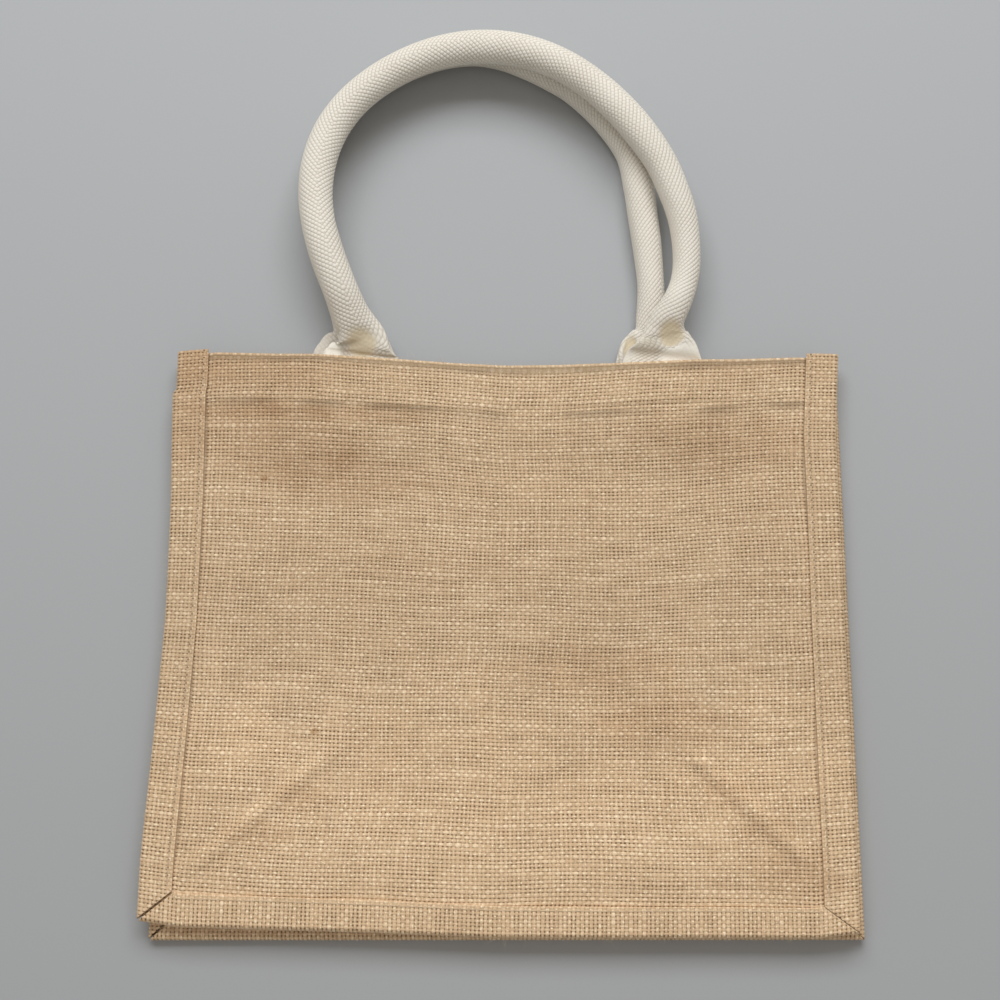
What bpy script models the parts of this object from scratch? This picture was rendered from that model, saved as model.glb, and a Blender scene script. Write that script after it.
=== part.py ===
"""A small jute bag folded flat, lying on its back, with its two padded handles laid out above the mouth.

The bag is drawn as a plain rectangle first: "across" runs from -150 at its left edge to 150 at its right,
and "along" from 0 at its bottom edge to 247 at its mouth. front_lie and back_lie then say where each point
of it really lies, because the cloth is a little uneven and the back has slipped down and turned.
+X is to the right, +Y towards the handles and +Z up off the surface.
Every size is in millimetres; MM makes metres of it.
"""

import math

import bpy
import numpy as np
from mathutils import Vector

MM = 0.001

# The bag
WIDTH = 300.0
HEIGHT = 247.0
HALF = WIDTH / 2
GUSSET_HALF = 75.0  # the gusset is 150 wide and folded in half
HEM = 21.0
STRIP = 14.5  # what the edge strips cover of each face
STRIP_INSIDE = 12.0  # and of the gusset's inner face
BOTTOM_SHARES = (0.92, 0.83)  # of those widths along the bottom, at its left and right end
STRIP_BULGE = 1.2  # how far a strip's folded edge rounds out
STRIP_RISE = 1.0  # the strips end this much above the panels
PANEL_INSET = 2.2  # from the bag's edge to the panels' raw edges, inside the strips
GUSSET_INSET = 4.0  # and to the gusset's
MIDDLE_OF_OUTLINE = (0.8, 200.3)  # of the whole object, handles included, and the origin of the part

# Cloth and webbing
CLOTH = 1.0
WEBBING = 1.3
WEBBING_WIDTH = 38.0
GAP = 0.4
LAYER = CLOTH + GAP
WEBBING_LAYER = (CLOTH + WEBBING) / 2 + GAP
FOLD_RADIUS = LAYER / 2
SPRING = 1.5  # how far the folded gusset springs open at the bag's outer edge

# Heights of the middle of each layer, at the sewn edge of the bag
BACK_STRIP = CLOTH / 2
BACK_PANEL = BACK_STRIP + LAYER
BACK_LEAF = BACK_PANEL + LAYER
BACK_STRIP_INSIDE = BACK_LEAF + LAYER
FRONT_STRIP_INSIDE = BACK_STRIP_INSIDE + CLOTH + SPRING
FRONT_LEAF = FRONT_STRIP_INSIDE + LAYER
FRONT_PANEL = FRONT_LEAF + LAYER
FRONT_STRIP = FRONT_PANEL + LAYER

# and away from it, where the back panel lies on the surface and the front one sinks on to the gusset
BACK_RESTING = 0.55
FRONT_ON_FOLD = BACK_LEAF + 2 * LAYER
FRONT_MIDDLE = FRONT_ON_FOLD - 1.0
SINKS_OVER = 45.0  # inwards of the gusset's fold

# Heights under the mouth's hems, from the back panel up
BACK_FOOT = BACK_RESTING + LAYER + WEBBING_LAYER
BACK_LEAF_AT_MOUTH = BACK_FOOT + WEBBING_LAYER
FRONT_LEAF_AT_MOUTH = BACK_LEAF_AT_MOUTH + LAYER
FRONT_FOOT = FRONT_LEAF_AT_MOUTH + WEBBING_LAYER
FRONT_OVER_FOOT = FRONT_FOOT + WEBBING_LAYER + LAYER
BENDS = (16.0, 19.0, 27.0)  # distances from the edge at which every layer has a row of points
HEM_STARTS = HALF - BENDS[1]  # the hems stop short of the edge strips
MOUTH_RISES = (188.0, 222.0)  # between these the cloth climbs to its height at the mouth

# How the front's outer edges run: height along the bag, left edge, right edge
SIDE_EDGES = (
    (0.0, -150.9, 149.8),
    (25.0, -151.2, 149.9),
    (75.0, -149.2, 149.0),
    (125.0, -147.7, 148.3),
    (180.0, -148.4, 147.9),
    (210.0, -149.6, 147.5),
    (228.0, -150.4, 148.6),
    (231.0, -149.8, 148.8),
    (HEIGHT + STRIP_RISE, -150.3, 149.9),
)
# How its bottom edge and its mouth run: place across, bottom edge, mouth
END_EDGES = (
    (-150.0, -1.6, 248.4),
    (-132.0, -4.1, 248.2),
    (-88.0, -4.4, 247.3),
    (-48.0, -4.8, 245.4),
    (0.0, -5.8, 242.5),
    (48.0, -5.1, 243.6),
    (88.0, -4.2, 245.2),
    (132.0, -3.6, 246.7),
    (150.0, -1.3, 247.2),
)
# How the back lies against the same rectangle
BACK_TURN = 0.0195
BACK_LEAN = -0.012
BACK_SLIP = (2.8, -7.0)

# Height of the front panel along the mouth, the same to the left and right: distance from the middle, height
MOUTH_HEIGHTS = (
    (0.0, 7.8),
    (24.0, 8.6),
    (45.0, FRONT_OVER_FOOT),
    (90.0, FRONT_OVER_FOOT),
    (104.0, FRONT_PANEL),
    (HALF, FRONT_PANEL),
)

# Soft ridges on the front, where the gusset's corner folds press through: from, to, height
CORNER_RIDGES = (
    ((-130.0, 19.0), (-68.0, 73.0), 0.8),
    ((134.0, 26.0), (80.0, 75.0), 0.7),
)
RIDGE_HALF_WIDTH = 9.0

# Handles, from the left foot round to the right one: x, y, height of the middle, width, thickness
FRONT_HANDLE = (
    (-67.0, 228.0, FRONT_FOOT, WEBBING_WIDTH, WEBBING),
    (-67.0, 238.0, FRONT_FOOT, WEBBING_WIDTH, WEBBING),
    (-66.6, 247.8, FRONT_FOOT, 35.5, WEBBING),
    (-66.3, 251.0, 9.0, 30.5, 4.0),
    (-66.0, 255.5, 11.2, 23.0, 7.4),
    (-68.2, 260.5, 13.6, 19.2, 10.2),
    (-71.3, 266.5, 16.2, 17.0, 12.4),
    (-75.6, 276.5, 20.0, 16.0, 14.2),
    (-81.3, 290.4, 22.4, 15.8, 15.0),
    (-85.9, 305.7, 22.8, 15.6, 15.0),
    (-88.2, 321.6, 22.6, 15.8, 15.0),
    (-87.2, 337.5, 22.3, 16.0, 15.0),
    (-82.7, 352.8, 21.8, 15.9, 15.0),
    (-74.4, 366.5, 21.4, 15.5, 15.0),
    (-63.2, 377.8, 21.1, 15.2, 15.0),
    (-49.9, 386.7, 21.0, 15.0, 15.0),
    (-35.2, 392.9, 21.0, 15.2, 15.0),
    (-19.5, 396.0, 21.1, 15.6, 15.0),
    (-3.6, 395.4, 21.8, 15.6, 15.0),
    (11.9, 391.5, 22.6, 15.2, 15.0),
    (26.4, 384.7, 22.8, 14.8, 15.0),
    (39.3, 375.3, 22.8, 14.8, 15.0),
    (50.7, 364.1, 22.7, 15.2, 15.0),
    (60.9, 351.8, 22.0, 15.2, 14.8),
    (69.9, 338.7, 19.9, 14.6, 14.4),
    (75.5, 326.5, 18.2, 14.3, 14.0),
    (79.8, 313.8, 16.6, 13.7, 13.6),
    (81.6, 301.5, 15.6, 12.9, 13.2),
    (81.8, 289.0, 15.4, 12.5, 13.0),
    (80.2, 279.5, 15.6, 12.4, 12.6),
    (77.3, 271.5, 16.0, 13.2, 12.2),
    (73.6, 264.5, 15.4, 15.0, 11.6),
    (72.4, 260.0, 14.0, 18.2, 10.0),
    (72.4, 256.5, 12.3, 22.8, 7.8),
    (71.9, 252.0, 10.0, 28.0, 4.4),
    (71.0, 247.2, FRONT_FOOT, 33.5, WEBBING),
    (68.8, 238.0, FRONT_FOOT, WEBBING_WIDTH, WEBBING),
    (68.4, 227.0, FRONT_FOOT, WEBBING_WIDTH, WEBBING),
)
BACK_HANDLE = (
    (-69.0, 222.0, BACK_FOOT, WEBBING_WIDTH, WEBBING),
    (-69.0, 232.0, BACK_FOOT, WEBBING_WIDTH, WEBBING),
    (-69.0, 243.0, BACK_FOOT, WEBBING_WIDTH, WEBBING),
    (-69.8, 249.0, 3.7, 35.0, 3.2),
    (-70.2, 255.5, 3.9, 26.5, 4.6),
    (-71.2, 261.0, 4.1, 18.8, 6.2),
    (-72.6, 267.0, 4.3, 17.0, 7.6),
    (-76.0, 277.0, 5.6, 16.4, 10.8),
    (-84.6, 300.0, 7.2, 15.8, 14.6),
    (-90.4, 321.0, 7.3, 15.4, 15.0),
    (-91.1, 338.2, 7.3, 15.4, 15.0),
    (-88.2, 353.1, 7.3, 15.4, 15.0),
    (-81.9, 366.8, 7.3, 15.4, 15.0),
    (-72.5, 378.8, 7.3, 15.4, 15.0),
    (-60.9, 388.4, 7.3, 15.4, 15.0),
    (-47.6, 396.0, 7.3, 15.4, 15.0),
    (-33.3, 401.0, 7.3, 15.4, 15.0),
    (-18.2, 403.0, 7.3, 15.6, 15.0),
    (-4.0, 400.8, 7.3, 15.8, 15.0),
    (8.2, 396.0, 7.3, 16.0, 15.0),
    (19.6, 390.1, 7.3, 16.2, 15.0),
    (31.9, 381.9, 7.3, 16.2, 15.0),
    (46.3, 367.0, 7.3, 16.0, 15.0),
    (57.4, 349.0, 7.15, 15.2, 14.6),
    (61.0, 331.0, 6.9, 14.4, 14.0),
    (62.6, 318.0, 6.6, 14.0, 13.4),
    (64.5, 303.3, 6.4, 13.6, 13.0),
    (66.0, 287.0, 6.0, 12.5, 12.2),
    (66.4, 277.4, 5.5, 12.6, 11.0),
    (66.0, 268.0, 4.7, 12.8, 9.0),
    (65.8, 261.2, 4.2, 13.6, 7.0),
    (64.8, 257.6, 4.1, 18.0, 5.8),
    (64.2, 253.2, 3.9, 25.0, 4.4),
    (65.4, 246.8, BACK_FOOT, 33.5, WEBBING),
    (67.0, 236.0, BACK_FOOT, WEBBING_WIDTH, WEBBING),
    (67.0, 224.0, BACK_FOOT, WEBBING_WIDTH, WEBBING),
)
HANDLE_SIDES = 12
HANDLE_STEPS = 2  # sections from one row of a handle's table to the next
ROUND_FROM = 0.7  # a section this thick for its width is an ellipse, and a thinner one squarer

# Colours (linear) and roughness
JUTE = ((0.50, 0.37, 0.22), 0.9)
JUTE_EDGE = ((0.47, 0.34, 0.21), 0.9)
COTTON = ((0.66, 0.61, 0.52), 0.85)


def ramp(value, start, end):
    """0 before start and 1 after end, with an even curve between them."""
    part = min(max((value - start) / (end - start), 0.0), 1.0)
    return part * part * (3.0 - 2.0 * part)


def mix(first, second, part):
    return first + (second - first) * part


def read(table, place, column):
    """A value of a table's column between two of its rows."""
    places = [row[0] for row in table]
    return float(np.interp(place, places, [row[column] for row in table]))


def front_lie(across, along):
    """Where a point of the plain rectangle lies on the front, in plan."""
    left = read(SIDE_EDGES, along, 1)
    right = read(SIDE_EDGES, along, 2)
    bottom = read(END_EDGES, across, 1)
    mouth = read(END_EDGES, across, 2)
    return mix(left, right, across / WIDTH + 0.5), mix(bottom, mouth, along / HEIGHT)


def back_lie(across, along):
    """The same on the back."""
    return (
        across + BACK_SLIP[0] + BACK_LEAN * along,
        along + BACK_SLIP[1] + BACK_TURN * across,
    )


def from_edge(across, along):
    """Distance to the nearest sewn edge: left, right or bottom."""
    return min(HALF - abs(across), along)


def over_ridge(across, along, ridge):
    """How much one soft ridge lifts the cloth here."""
    start, end, height = ridge
    point = Vector((across, along))
    start = Vector(start)
    run = Vector(end) - start
    part = min(max((point - start).dot(run) / run.length_squared, 0.0), 1.0)
    away = (point - start - run * part).length
    fade = ramp(part, 0.0, 0.2) * (1.0 - ramp(part, 0.8, 1.0))
    return height * fade * (1.0 - ramp(away, 0.0, RIDGE_HALF_WIDTH))


def front_height(across, along):
    """Height of the middle of the front panel."""
    inwards = from_edge(across, along)
    sunk = mix(FRONT_PANEL, FRONT_ON_FOLD, ramp(inwards, STRIP, GUSSET_HALF))
    sunk = mix(sunk, FRONT_MIDDLE, ramp(inwards, GUSSET_HALF, GUSSET_HALF + SINKS_OVER))
    sunk += sum(over_ridge(across, along, ridge) for ridge in CORNER_RIDGES)
    return mix(sunk, read(MOUTH_HEIGHTS, abs(across), 1), ramp(along, *MOUTH_RISES))


def back_height(across, along):
    """Height of the middle of the back panel."""
    inwards = from_edge(across, along)
    return mix(BACK_PANEL, BACK_RESTING, ramp(inwards, STRIP, BENDS[2]))


def under_hem(across, along):
    """1 where the gusset lies under a hem and a handle's foot, 0 elsewhere."""
    inwards = HALF - abs(across)
    return ramp(inwards, BENDS[0], BENDS[1]) * ramp(along, *MOUTH_RISES)


def front_leaf_height(across, along):
    """Height of the gusset's front half."""
    inwards = from_edge(across, along)
    plain = mix(FRONT_LEAF, BACK_LEAF + LAYER, ramp(inwards, STRIP, GUSSET_HALF))
    return mix(plain, FRONT_LEAF_AT_MOUTH, under_hem(across, along))


def back_leaf_height(across, along):
    """Height of its back half."""
    return mix(BACK_LEAF, BACK_LEAF_AT_MOUTH, under_hem(across, along))


def place(x, y, z):
    """A point in the part's own frame, in metres."""
    return ((x - MIDDLE_OF_OUTLINE[0]) * MM, (y - MIDDLE_OF_OUTLINE[1]) * MM, z * MM)


def material(name, finish):
    colour, roughness = finish
    made = bpy.data.materials.new(name)
    made.use_nodes = True
    shader = made.node_tree.nodes["Principled BSDF"]
    shader.inputs["Base Color"].default_value = (*colour, 1.0)
    shader.inputs["Roughness"].default_value = roughness
    shader.inputs["Metallic"].default_value = 0.0
    made.diffuse_color = (*colour, 1.0)
    return made


def add_object(name, points, faces, finish):
    mesh = bpy.data.meshes.new(name)
    mesh.from_pydata(points, [], faces)
    mesh.validate()
    mesh.shade_smooth()
    mesh.set_sharp_from_angle(angle=math.radians(50.0))
    mesh.materials.append(material(name, finish))
    made = bpy.data.objects.new(name, mesh)
    bpy.context.scene.collection.objects.link(made)
    return made


def cloth(name, rows, finish, even=True):
    """A sheet one cloth thick, from rows of points along its middle. None stands for a notch."""
    points = []
    numbers = {}
    for i, row in enumerate(rows):
        for j, point in enumerate(row):
            if point is not None:
                numbers[i, j] = len(points)
                points.append(place(*point))
    faces = []
    for i, j in numbers:
        corners = ((i, j), (i, j + 1), (i + 1, j + 1), (i + 1, j))
        if all(corner in numbers for corner in corners):
            faces.append([numbers[corner] for corner in corners])
    made = add_object(name, points, faces, finish)
    solid = made.modifiers.new("Thickness", "SOLIDIFY")
    solid.thickness = CLOTH * MM
    solid.offset = 0.0
    solid.use_even_offset = even
    solid.use_rim = True
    return made


def panel(name, columns, lines, lie, height, inner):
    """A panel with its mouth hem. inner is -1 where the hem turns under it and 1 where it turns over."""
    rows = []
    fold_start = HEIGHT - CLOTH / 2 - FOLD_RADIUS
    for along in (*lines, fold_start):
        rows.append([(*lie(across, along), height(across, along)) for across in columns])
    hemmed = [abs(across) <= HEM_STARTS for across in columns]
    for turn in (45.0, 90.0, 135.0, 180.0):
        along = fold_start + FOLD_RADIUS * math.sin(math.radians(turn))
        drop = inner * FOLD_RADIUS * (1.0 - math.cos(math.radians(turn)))
        rows.append([])
        for across, turned in zip(columns, hemmed):
            point = (*lie(across, along), height(across, HEIGHT) + drop)
            rows[-1].append(point if turned else None)
    for along in (HEIGHT - HEM / 2, HEIGHT - HEM):
        rows.append([])
        for across, turned in zip(columns, hemmed):
            point = (*lie(across, along), height(across, along) + inner * LAYER)
            rows[-1].append(point if turned else None)
    return cloth(name, rows, JUTE)


def front_panel():
    side = [row[0] for row in SIDE_EDGES if STRIP < row[0] < HEIGHT - 2.0]
    lines = sorted({PANEL_INSET, 12.0, 38.0, 50.0, 62.0, 88.0, 150.0, 195.0, 203.0, 218.0, *side})
    ends = [row[0] for row in END_EDGES if abs(row[0]) < HALF]
    half = [15.0, 30.0, 40.0, 67.0, 80.0, 104.0, *(HALF - bend for bend in BENDS), HALF - PANEL_INSET]
    columns = sorted({*half, *(-across for across in half), *ends})
    return panel("front_panel", columns, lines, front_lie, front_height, -1.0)


def back_panel():
    lines = (PANEL_INSET, *BENDS, 80.0, 140.0, 200.0, 226.0, 236.0)
    half = (35.0, 75.0, 104.0, *(HALF - bend for bend in BENDS), HALF - PANEL_INSET)
    columns = sorted({0.0, *half, *(-across for across in half)})
    return panel("back_panel", columns, lines, back_lie, back_height, 1.0)


def mitred(lines, columns, inwards, shares=(1.0, 1.0)):
    """Places (across, along) down the left, along the bottom and up the right, inwards from the edge."""
    left = [(inwards - HALF, along) for along in lines]
    columns = (inwards - HALF, *columns, HALF - inwards)
    bottom = [(across, inwards * mix(*shares, across / WIDTH + 0.5)) for across in columns]
    right = [(-across, along) for across, along in reversed(left)]
    return [*left, *bottom, *right]


def gusset():
    mouth = HEIGHT - 1.5
    lines = (mouth, 238.0, 230.0, 222.0, 213.0, 205.0, 196.0, 187.0, 140.0, 95.0)
    columns = (-60.0, -20.0, 20.0, 60.0)
    leaf = (GUSSET_INSET, *BENDS, 38.0, 50.0, 62.0, GUSSET_HALF - FOLD_RADIUS)
    rows = []
    for inwards in leaf:
        route = mitred(lines, columns, inwards)
        rows.append([(*front_lie(*spot), front_leaf_height(*spot)) for spot in route])
    for turn in (45.0, 90.0, 135.0):
        out = GUSSET_HALF - FOLD_RADIUS * (1.0 - math.sin(math.radians(turn)))
        part = (1.0 - math.cos(math.radians(turn))) / 2
        rows.append([])
        for spot in mitred(lines, columns, out):
            x_front, y_front = front_lie(*spot)
            x_back, y_back = back_lie(*spot)
            height = mix(front_leaf_height(*spot), back_leaf_height(*spot), part)
            rows[-1].append((mix(x_front, x_back, part), mix(y_front, y_back, part), height))
    for inwards in reversed(leaf):
        route = mitred(lines, columns, inwards)
        rows.append([(*back_lie(*spot), back_leaf_height(*spot)) for spot in route])
    return cloth("gusset", rows, JUTE, even=False)


def edge_strip(name, lie, outer, inner):
    """A strip folded over a sewn edge. outer and inner are the heights of its two faces' layers."""
    lines = [row[0] for row in reversed(SIDE_EDGES) if row[0] > STRIP]
    columns = [row[0] for row in END_EDGES if abs(row[0]) < HALF]
    middle = (outer + inner) / 2
    radius = abs(outer - inner) / 2
    section = [(STRIP, outer), (8.0, outer)]
    for turn in (90.0, 54.0, 18.0, -18.0, -54.0, -90.0):
        inwards = CLOTH / 2 + STRIP_BULGE * (1.0 - math.cos(math.radians(turn)))
        rise = radius * math.sin(math.radians(turn))
        section.append((inwards, middle + math.copysign(rise, (outer - inner) * turn)))
    section.append((STRIP_INSIDE, inner))
    rows = []
    for inwards, height in section:
        route = mitred(lines, columns, inwards, BOTTOM_SHARES)
        rows.append([(*lie(*spot), height) for spot in route])
    return cloth(name, rows, JUTE_EDGE)


def smooth_rows(table, steps):
    """Rows read from a smooth curve through a table's own rows."""
    rows = [np.array(row) for row in table]
    made = []
    for i in range(len(rows) - 1):
        before = rows[max(i - 1, 0)]
        after = rows[min(i + 2, len(rows) - 1)]
        flat = rows[i][4] == rows[i + 1][4] == WEBBING
        for step in range(1 if flat else steps):
            part = step / steps
            slope_in = (rows[i + 1] - before) / 2
            slope_out = (after - rows[i]) / 2
            point = (
                (2 * part**3 - 3 * part**2 + 1) * rows[i]
                + (part**3 - 2 * part**2 + part) * slope_in
                + (3 * part**2 - 2 * part**3) * rows[i + 1]
                + (part**3 - part**2) * slope_out
            )
            made.append(point)
    made.append(rows[-1])
    return made


def ring(centre, run, width, thickness):
    """One section of a handle: an ellipse where it is padded and a flat band where it isn't."""
    side = run.cross(Vector((0.0, 0.0, 1.0))).normalized()
    up = side.cross(run).normalized()
    squareness = 1.0 - min(thickness / width / ROUND_FROM, 1.0)
    power = 2.0 / (2.0 + 8.0 * squareness)
    points = []
    for i in range(HANDLE_SIDES):
        turn = 2.0 * math.pi * (i + 0.5) / HANDLE_SIDES
        out = math.copysign(abs(math.cos(turn)) ** power, math.cos(turn))
        rise = math.copysign(abs(math.sin(turn)) ** power, math.sin(turn))
        points.append(centre + side * out * width / 2 + up * rise * thickness / 2)
    return points


def handle(name, table):
    """A handle: flat feet, and padding between them."""
    rows = smooth_rows(table, HANDLE_STEPS)
    centres = [Vector(row[:3]) for row in rows]
    points = []
    for i, row in enumerate(rows):
        run = centres[min(i + 1, len(rows) - 1)] - centres[max(i - 1, 0)]
        points += [place(*point) for point in ring(centres[i], run.normalized(), row[3], row[4])]
    faces = [list(range(HANDLE_SIDES))]
    for i in range(len(rows) - 1):
        for j in range(HANDLE_SIDES):
            first = i * HANDLE_SIDES + j
            second = i * HANDLE_SIDES + (j + 1) % HANDLE_SIDES
            faces.append([first, first + HANDLE_SIDES, second + HANDLE_SIDES, second])
    last = (len(rows) - 1) * HANDLE_SIDES
    faces.append([last + j for j in reversed(range(HANDLE_SIDES))])
    return add_object(name, points, faces, COTTON)


for old in list(bpy.data.objects):
    bpy.data.objects.remove(old, do_unlink=True)

front_panel()
back_panel()
gusset()
edge_strip("front_edge_strip", front_lie, FRONT_STRIP, FRONT_STRIP_INSIDE)
edge_strip("back_edge_strip", back_lie, BACK_STRIP, BACK_STRIP_INSIDE)
handle("front_handle", FRONT_HANDLE)
handle("back_handle", BACK_HANDLE)
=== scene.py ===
"""A small jute bag folded flat, with its two padded cotton handles.

It is woven thread by thread round its plain solids. The cloth is drawn as a plain rectangle first: "across"
runs from -150 at the bag's left edge to 150 at its right, and "along" from 0 at its bottom edge to 247 at
its mouth. front_lie and back_lie then say where each point of it lies. Sizes are in millimetres, and MM
makes metres of them.
"""

import math

import bmesh
import bpy
import numpy as np
from bpy.props import FloatProperty, FloatVectorProperty, IntProperty, PointerProperty
from mathutils import Matrix, Vector


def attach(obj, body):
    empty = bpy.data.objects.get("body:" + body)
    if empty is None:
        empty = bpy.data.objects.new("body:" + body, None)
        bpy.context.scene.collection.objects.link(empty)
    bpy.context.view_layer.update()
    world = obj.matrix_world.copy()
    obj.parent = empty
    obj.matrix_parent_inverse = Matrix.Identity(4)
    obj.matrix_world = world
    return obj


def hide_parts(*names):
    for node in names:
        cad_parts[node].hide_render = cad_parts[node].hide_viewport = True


bl_info = {
    "name": "Jute bag with padded handles",
    "version": (1, 0, 0),
    "blender": (4, 5, 0),
    "location": "3D View > Sidebar > Jute bag",
    "description": "Weaves a small jute bag, folded flat, and its padded webbing handles",
    "category": "Add Mesh",
}

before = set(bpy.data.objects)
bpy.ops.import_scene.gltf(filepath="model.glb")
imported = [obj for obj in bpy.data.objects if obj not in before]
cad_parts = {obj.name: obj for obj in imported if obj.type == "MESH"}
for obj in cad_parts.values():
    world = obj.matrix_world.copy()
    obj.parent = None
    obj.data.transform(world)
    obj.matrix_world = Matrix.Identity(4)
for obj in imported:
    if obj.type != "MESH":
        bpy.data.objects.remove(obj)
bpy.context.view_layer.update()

MM = 0.001
BODY = "root"

# The bag, as its solids have it
WIDTH = 300.0
HEIGHT = 247.0
HALF = WIDTH / 2
GUSSET_HALF = 75.0
HEM = 21.0
STRIP = 14.5
STRIP_INSIDE = 12.0
BOTTOM_SHARES = (0.92, 0.83)  # of those widths along the bottom, at its left and right end
STRIP_BULGE = 1.2
STRIP_RISE = 1.0
PANEL_INSET = 2.2
GUSSET_INSET = 4.0
MIDDLE_OF_OUTLINE = (0.8, 200.3)
CLOTH = 1.0
WEBBING = 1.3
WEBBING_WIDTH = 38.0
GAP = 0.4
LAYER = CLOTH + GAP
WEBBING_LAYER = (CLOTH + WEBBING) / 2 + GAP
FOLD_RADIUS = LAYER / 2
SPRING = 1.5

# Heights of the middle of each layer, at the sewn edge of the bag
BACK_STRIP = CLOTH / 2
BACK_PANEL = BACK_STRIP + LAYER
BACK_LEAF = BACK_PANEL + LAYER
BACK_STRIP_INSIDE = BACK_LEAF + LAYER
FRONT_STRIP_INSIDE = BACK_STRIP_INSIDE + CLOTH + SPRING
FRONT_LEAF = FRONT_STRIP_INSIDE + LAYER
FRONT_PANEL = FRONT_LEAF + LAYER
FRONT_STRIP = FRONT_PANEL + LAYER

# and away from it
BACK_RESTING = 0.55
FRONT_ON_FOLD = BACK_LEAF + 2 * LAYER
FRONT_MIDDLE = FRONT_ON_FOLD - 1.0
SINKS_OVER = 45.0
BACK_FOOT = BACK_RESTING + LAYER + WEBBING_LAYER
BACK_LEAF_AT_MOUTH = BACK_FOOT + WEBBING_LAYER
FRONT_LEAF_AT_MOUTH = BACK_LEAF_AT_MOUTH + LAYER
FRONT_FOOT = FRONT_LEAF_AT_MOUTH + WEBBING_LAYER
FRONT_OVER_FOOT = FRONT_FOOT + WEBBING_LAYER + LAYER
BENDS = (16.0, 19.0, 27.0)
HEM_STARTS = HALF - BENDS[1]
MOUTH_RISES = (188.0, 222.0)

# How the front's outer edges run: height along the bag, left edge, right edge
SIDE_EDGES = (
    (0.0, -150.9, 149.8),
    (25.0, -151.2, 149.9),
    (75.0, -149.2, 149.0),
    (125.0, -147.7, 148.3),
    (180.0, -148.4, 147.9),
    (210.0, -149.6, 147.5),
    (228.0, -150.4, 148.6),
    (231.0, -149.8, 148.8),
    (HEIGHT + STRIP_RISE, -150.3, 149.9),
)
# How its bottom edge and its mouth run: place across, bottom edge, mouth
END_EDGES = (
    (-150.0, -1.6, 247.4),
    (-132.0, -4.1, 249.1),
    (-88.0, -4.4, 248.2),
    (-48.0, -4.8, 245.7),
    (0.0, -5.8, 243.9),
    (48.0, -5.1, 244.1),
    (88.0, -4.2, 246.1),
    (132.0, -3.6, 247.5),
    (150.0, -1.3, 247.1),
)
# How far the front strip's folded edge stands out on the left, below its top: height along the bag, how far
LEFT_SWELL = ((150.0, 0.0), (205.0, 0.9), (228.5, 1.0), (230.5, 0.0))
NO_SWELL = ((0.0, 0.0), (HEIGHT, 0.0))
BACK_TURN = 0.0195
BACK_LEAN = -0.012
BACK_SLIP = (2.8, -7.0)

# Height of the front along the mouth, the same to the left and right: distance from the middle, height
MOUTH_HEIGHTS = (
    (0.0, 7.8),
    (24.0, 8.6),
    (45.0, FRONT_OVER_FOOT),
    (90.0, FRONT_OVER_FOOT),
    (104.0, FRONT_PANEL),
    (HALF, FRONT_PANEL),
)
# Creases on the front, where the gusset's corner folds press through: from, to, height, half width
CREASES = (
    ((-134.0, 18.0), (-66.0, 77.0), 1.5, 5.5),
    ((136.0, 24.0), (78.0, 78.0), 1.5, 5.5),
)

# Handles, from the left foot round to the right one: x, y, height of the middle, width, thickness
FRONT_HANDLE = (
    (-67.0, 228.0, FRONT_FOOT, WEBBING_WIDTH, WEBBING),
    (-67.0, 238.0, FRONT_FOOT, WEBBING_WIDTH, WEBBING),
    (-66.6, 247.8, FRONT_FOOT, 35.5, WEBBING),
    (-66.3, 251.0, 9.0, 30.5, 4.0),
    (-66.0, 255.5, 10.5, 23.0, 6.8),
    (-68.2, 260.5, 12.8, 19.2, 9.8),
    (-71.3, 266.5, 15.7, 17.0, 12.2),
    (-75.6, 276.5, 20.0, 16.0, 14.2),
    (-81.3, 290.4, 22.4, 15.8, 15.0),
    (-85.9, 305.7, 22.8, 15.6, 15.0),
    (-88.2, 321.6, 22.6, 15.8, 15.0),
    (-87.2, 337.5, 22.3, 16.0, 15.0),
    (-82.7, 352.8, 21.8, 15.9, 15.0),
    (-74.4, 366.5, 21.4, 15.5, 15.0),
    (-63.2, 377.8, 21.1, 15.2, 15.0),
    (-49.9, 386.7, 21.0, 15.0, 15.0),
    (-35.2, 392.9, 21.0, 15.2, 15.0),
    (-19.5, 396.0, 21.1, 15.6, 15.0),
    (-3.6, 395.4, 21.8, 15.6, 15.0),
    (11.9, 391.5, 22.6, 15.2, 15.0),
    (26.4, 384.7, 22.8, 14.8, 15.0),
    (39.3, 375.3, 22.8, 14.8, 15.0),
    (50.7, 364.1, 22.7, 15.2, 15.0),
    (60.9, 351.8, 22.0, 15.2, 14.8),
    (69.9, 338.7, 19.9, 14.6, 14.4),
    (75.5, 326.5, 18.2, 14.3, 14.0),
    (79.8, 313.8, 16.6, 13.7, 13.6),
    (81.6, 301.5, 15.6, 12.9, 13.2),
    (81.8, 289.0, 15.4, 12.5, 13.0),
    (80.2, 279.5, 15.6, 12.4, 12.6),
    (77.3, 271.5, 16.0, 13.2, 12.2),
    (73.6, 264.5, 14.3, 15.0, 11.0),
    (72.4, 260.0, 12.5, 18.2, 9.0),
    (72.4, 256.5, 11.1, 22.8, 7.0),
    (72.4, 252.0, 10.0, 29.5, 4.8),
    (71.9, 247.2, FRONT_FOOT, 35.0, 1.8),
    (70.7, 238.0, FRONT_FOOT, WEBBING_WIDTH, WEBBING),
    (70.5, 227.0, FRONT_FOOT, WEBBING_WIDTH, WEBBING),
)
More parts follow.
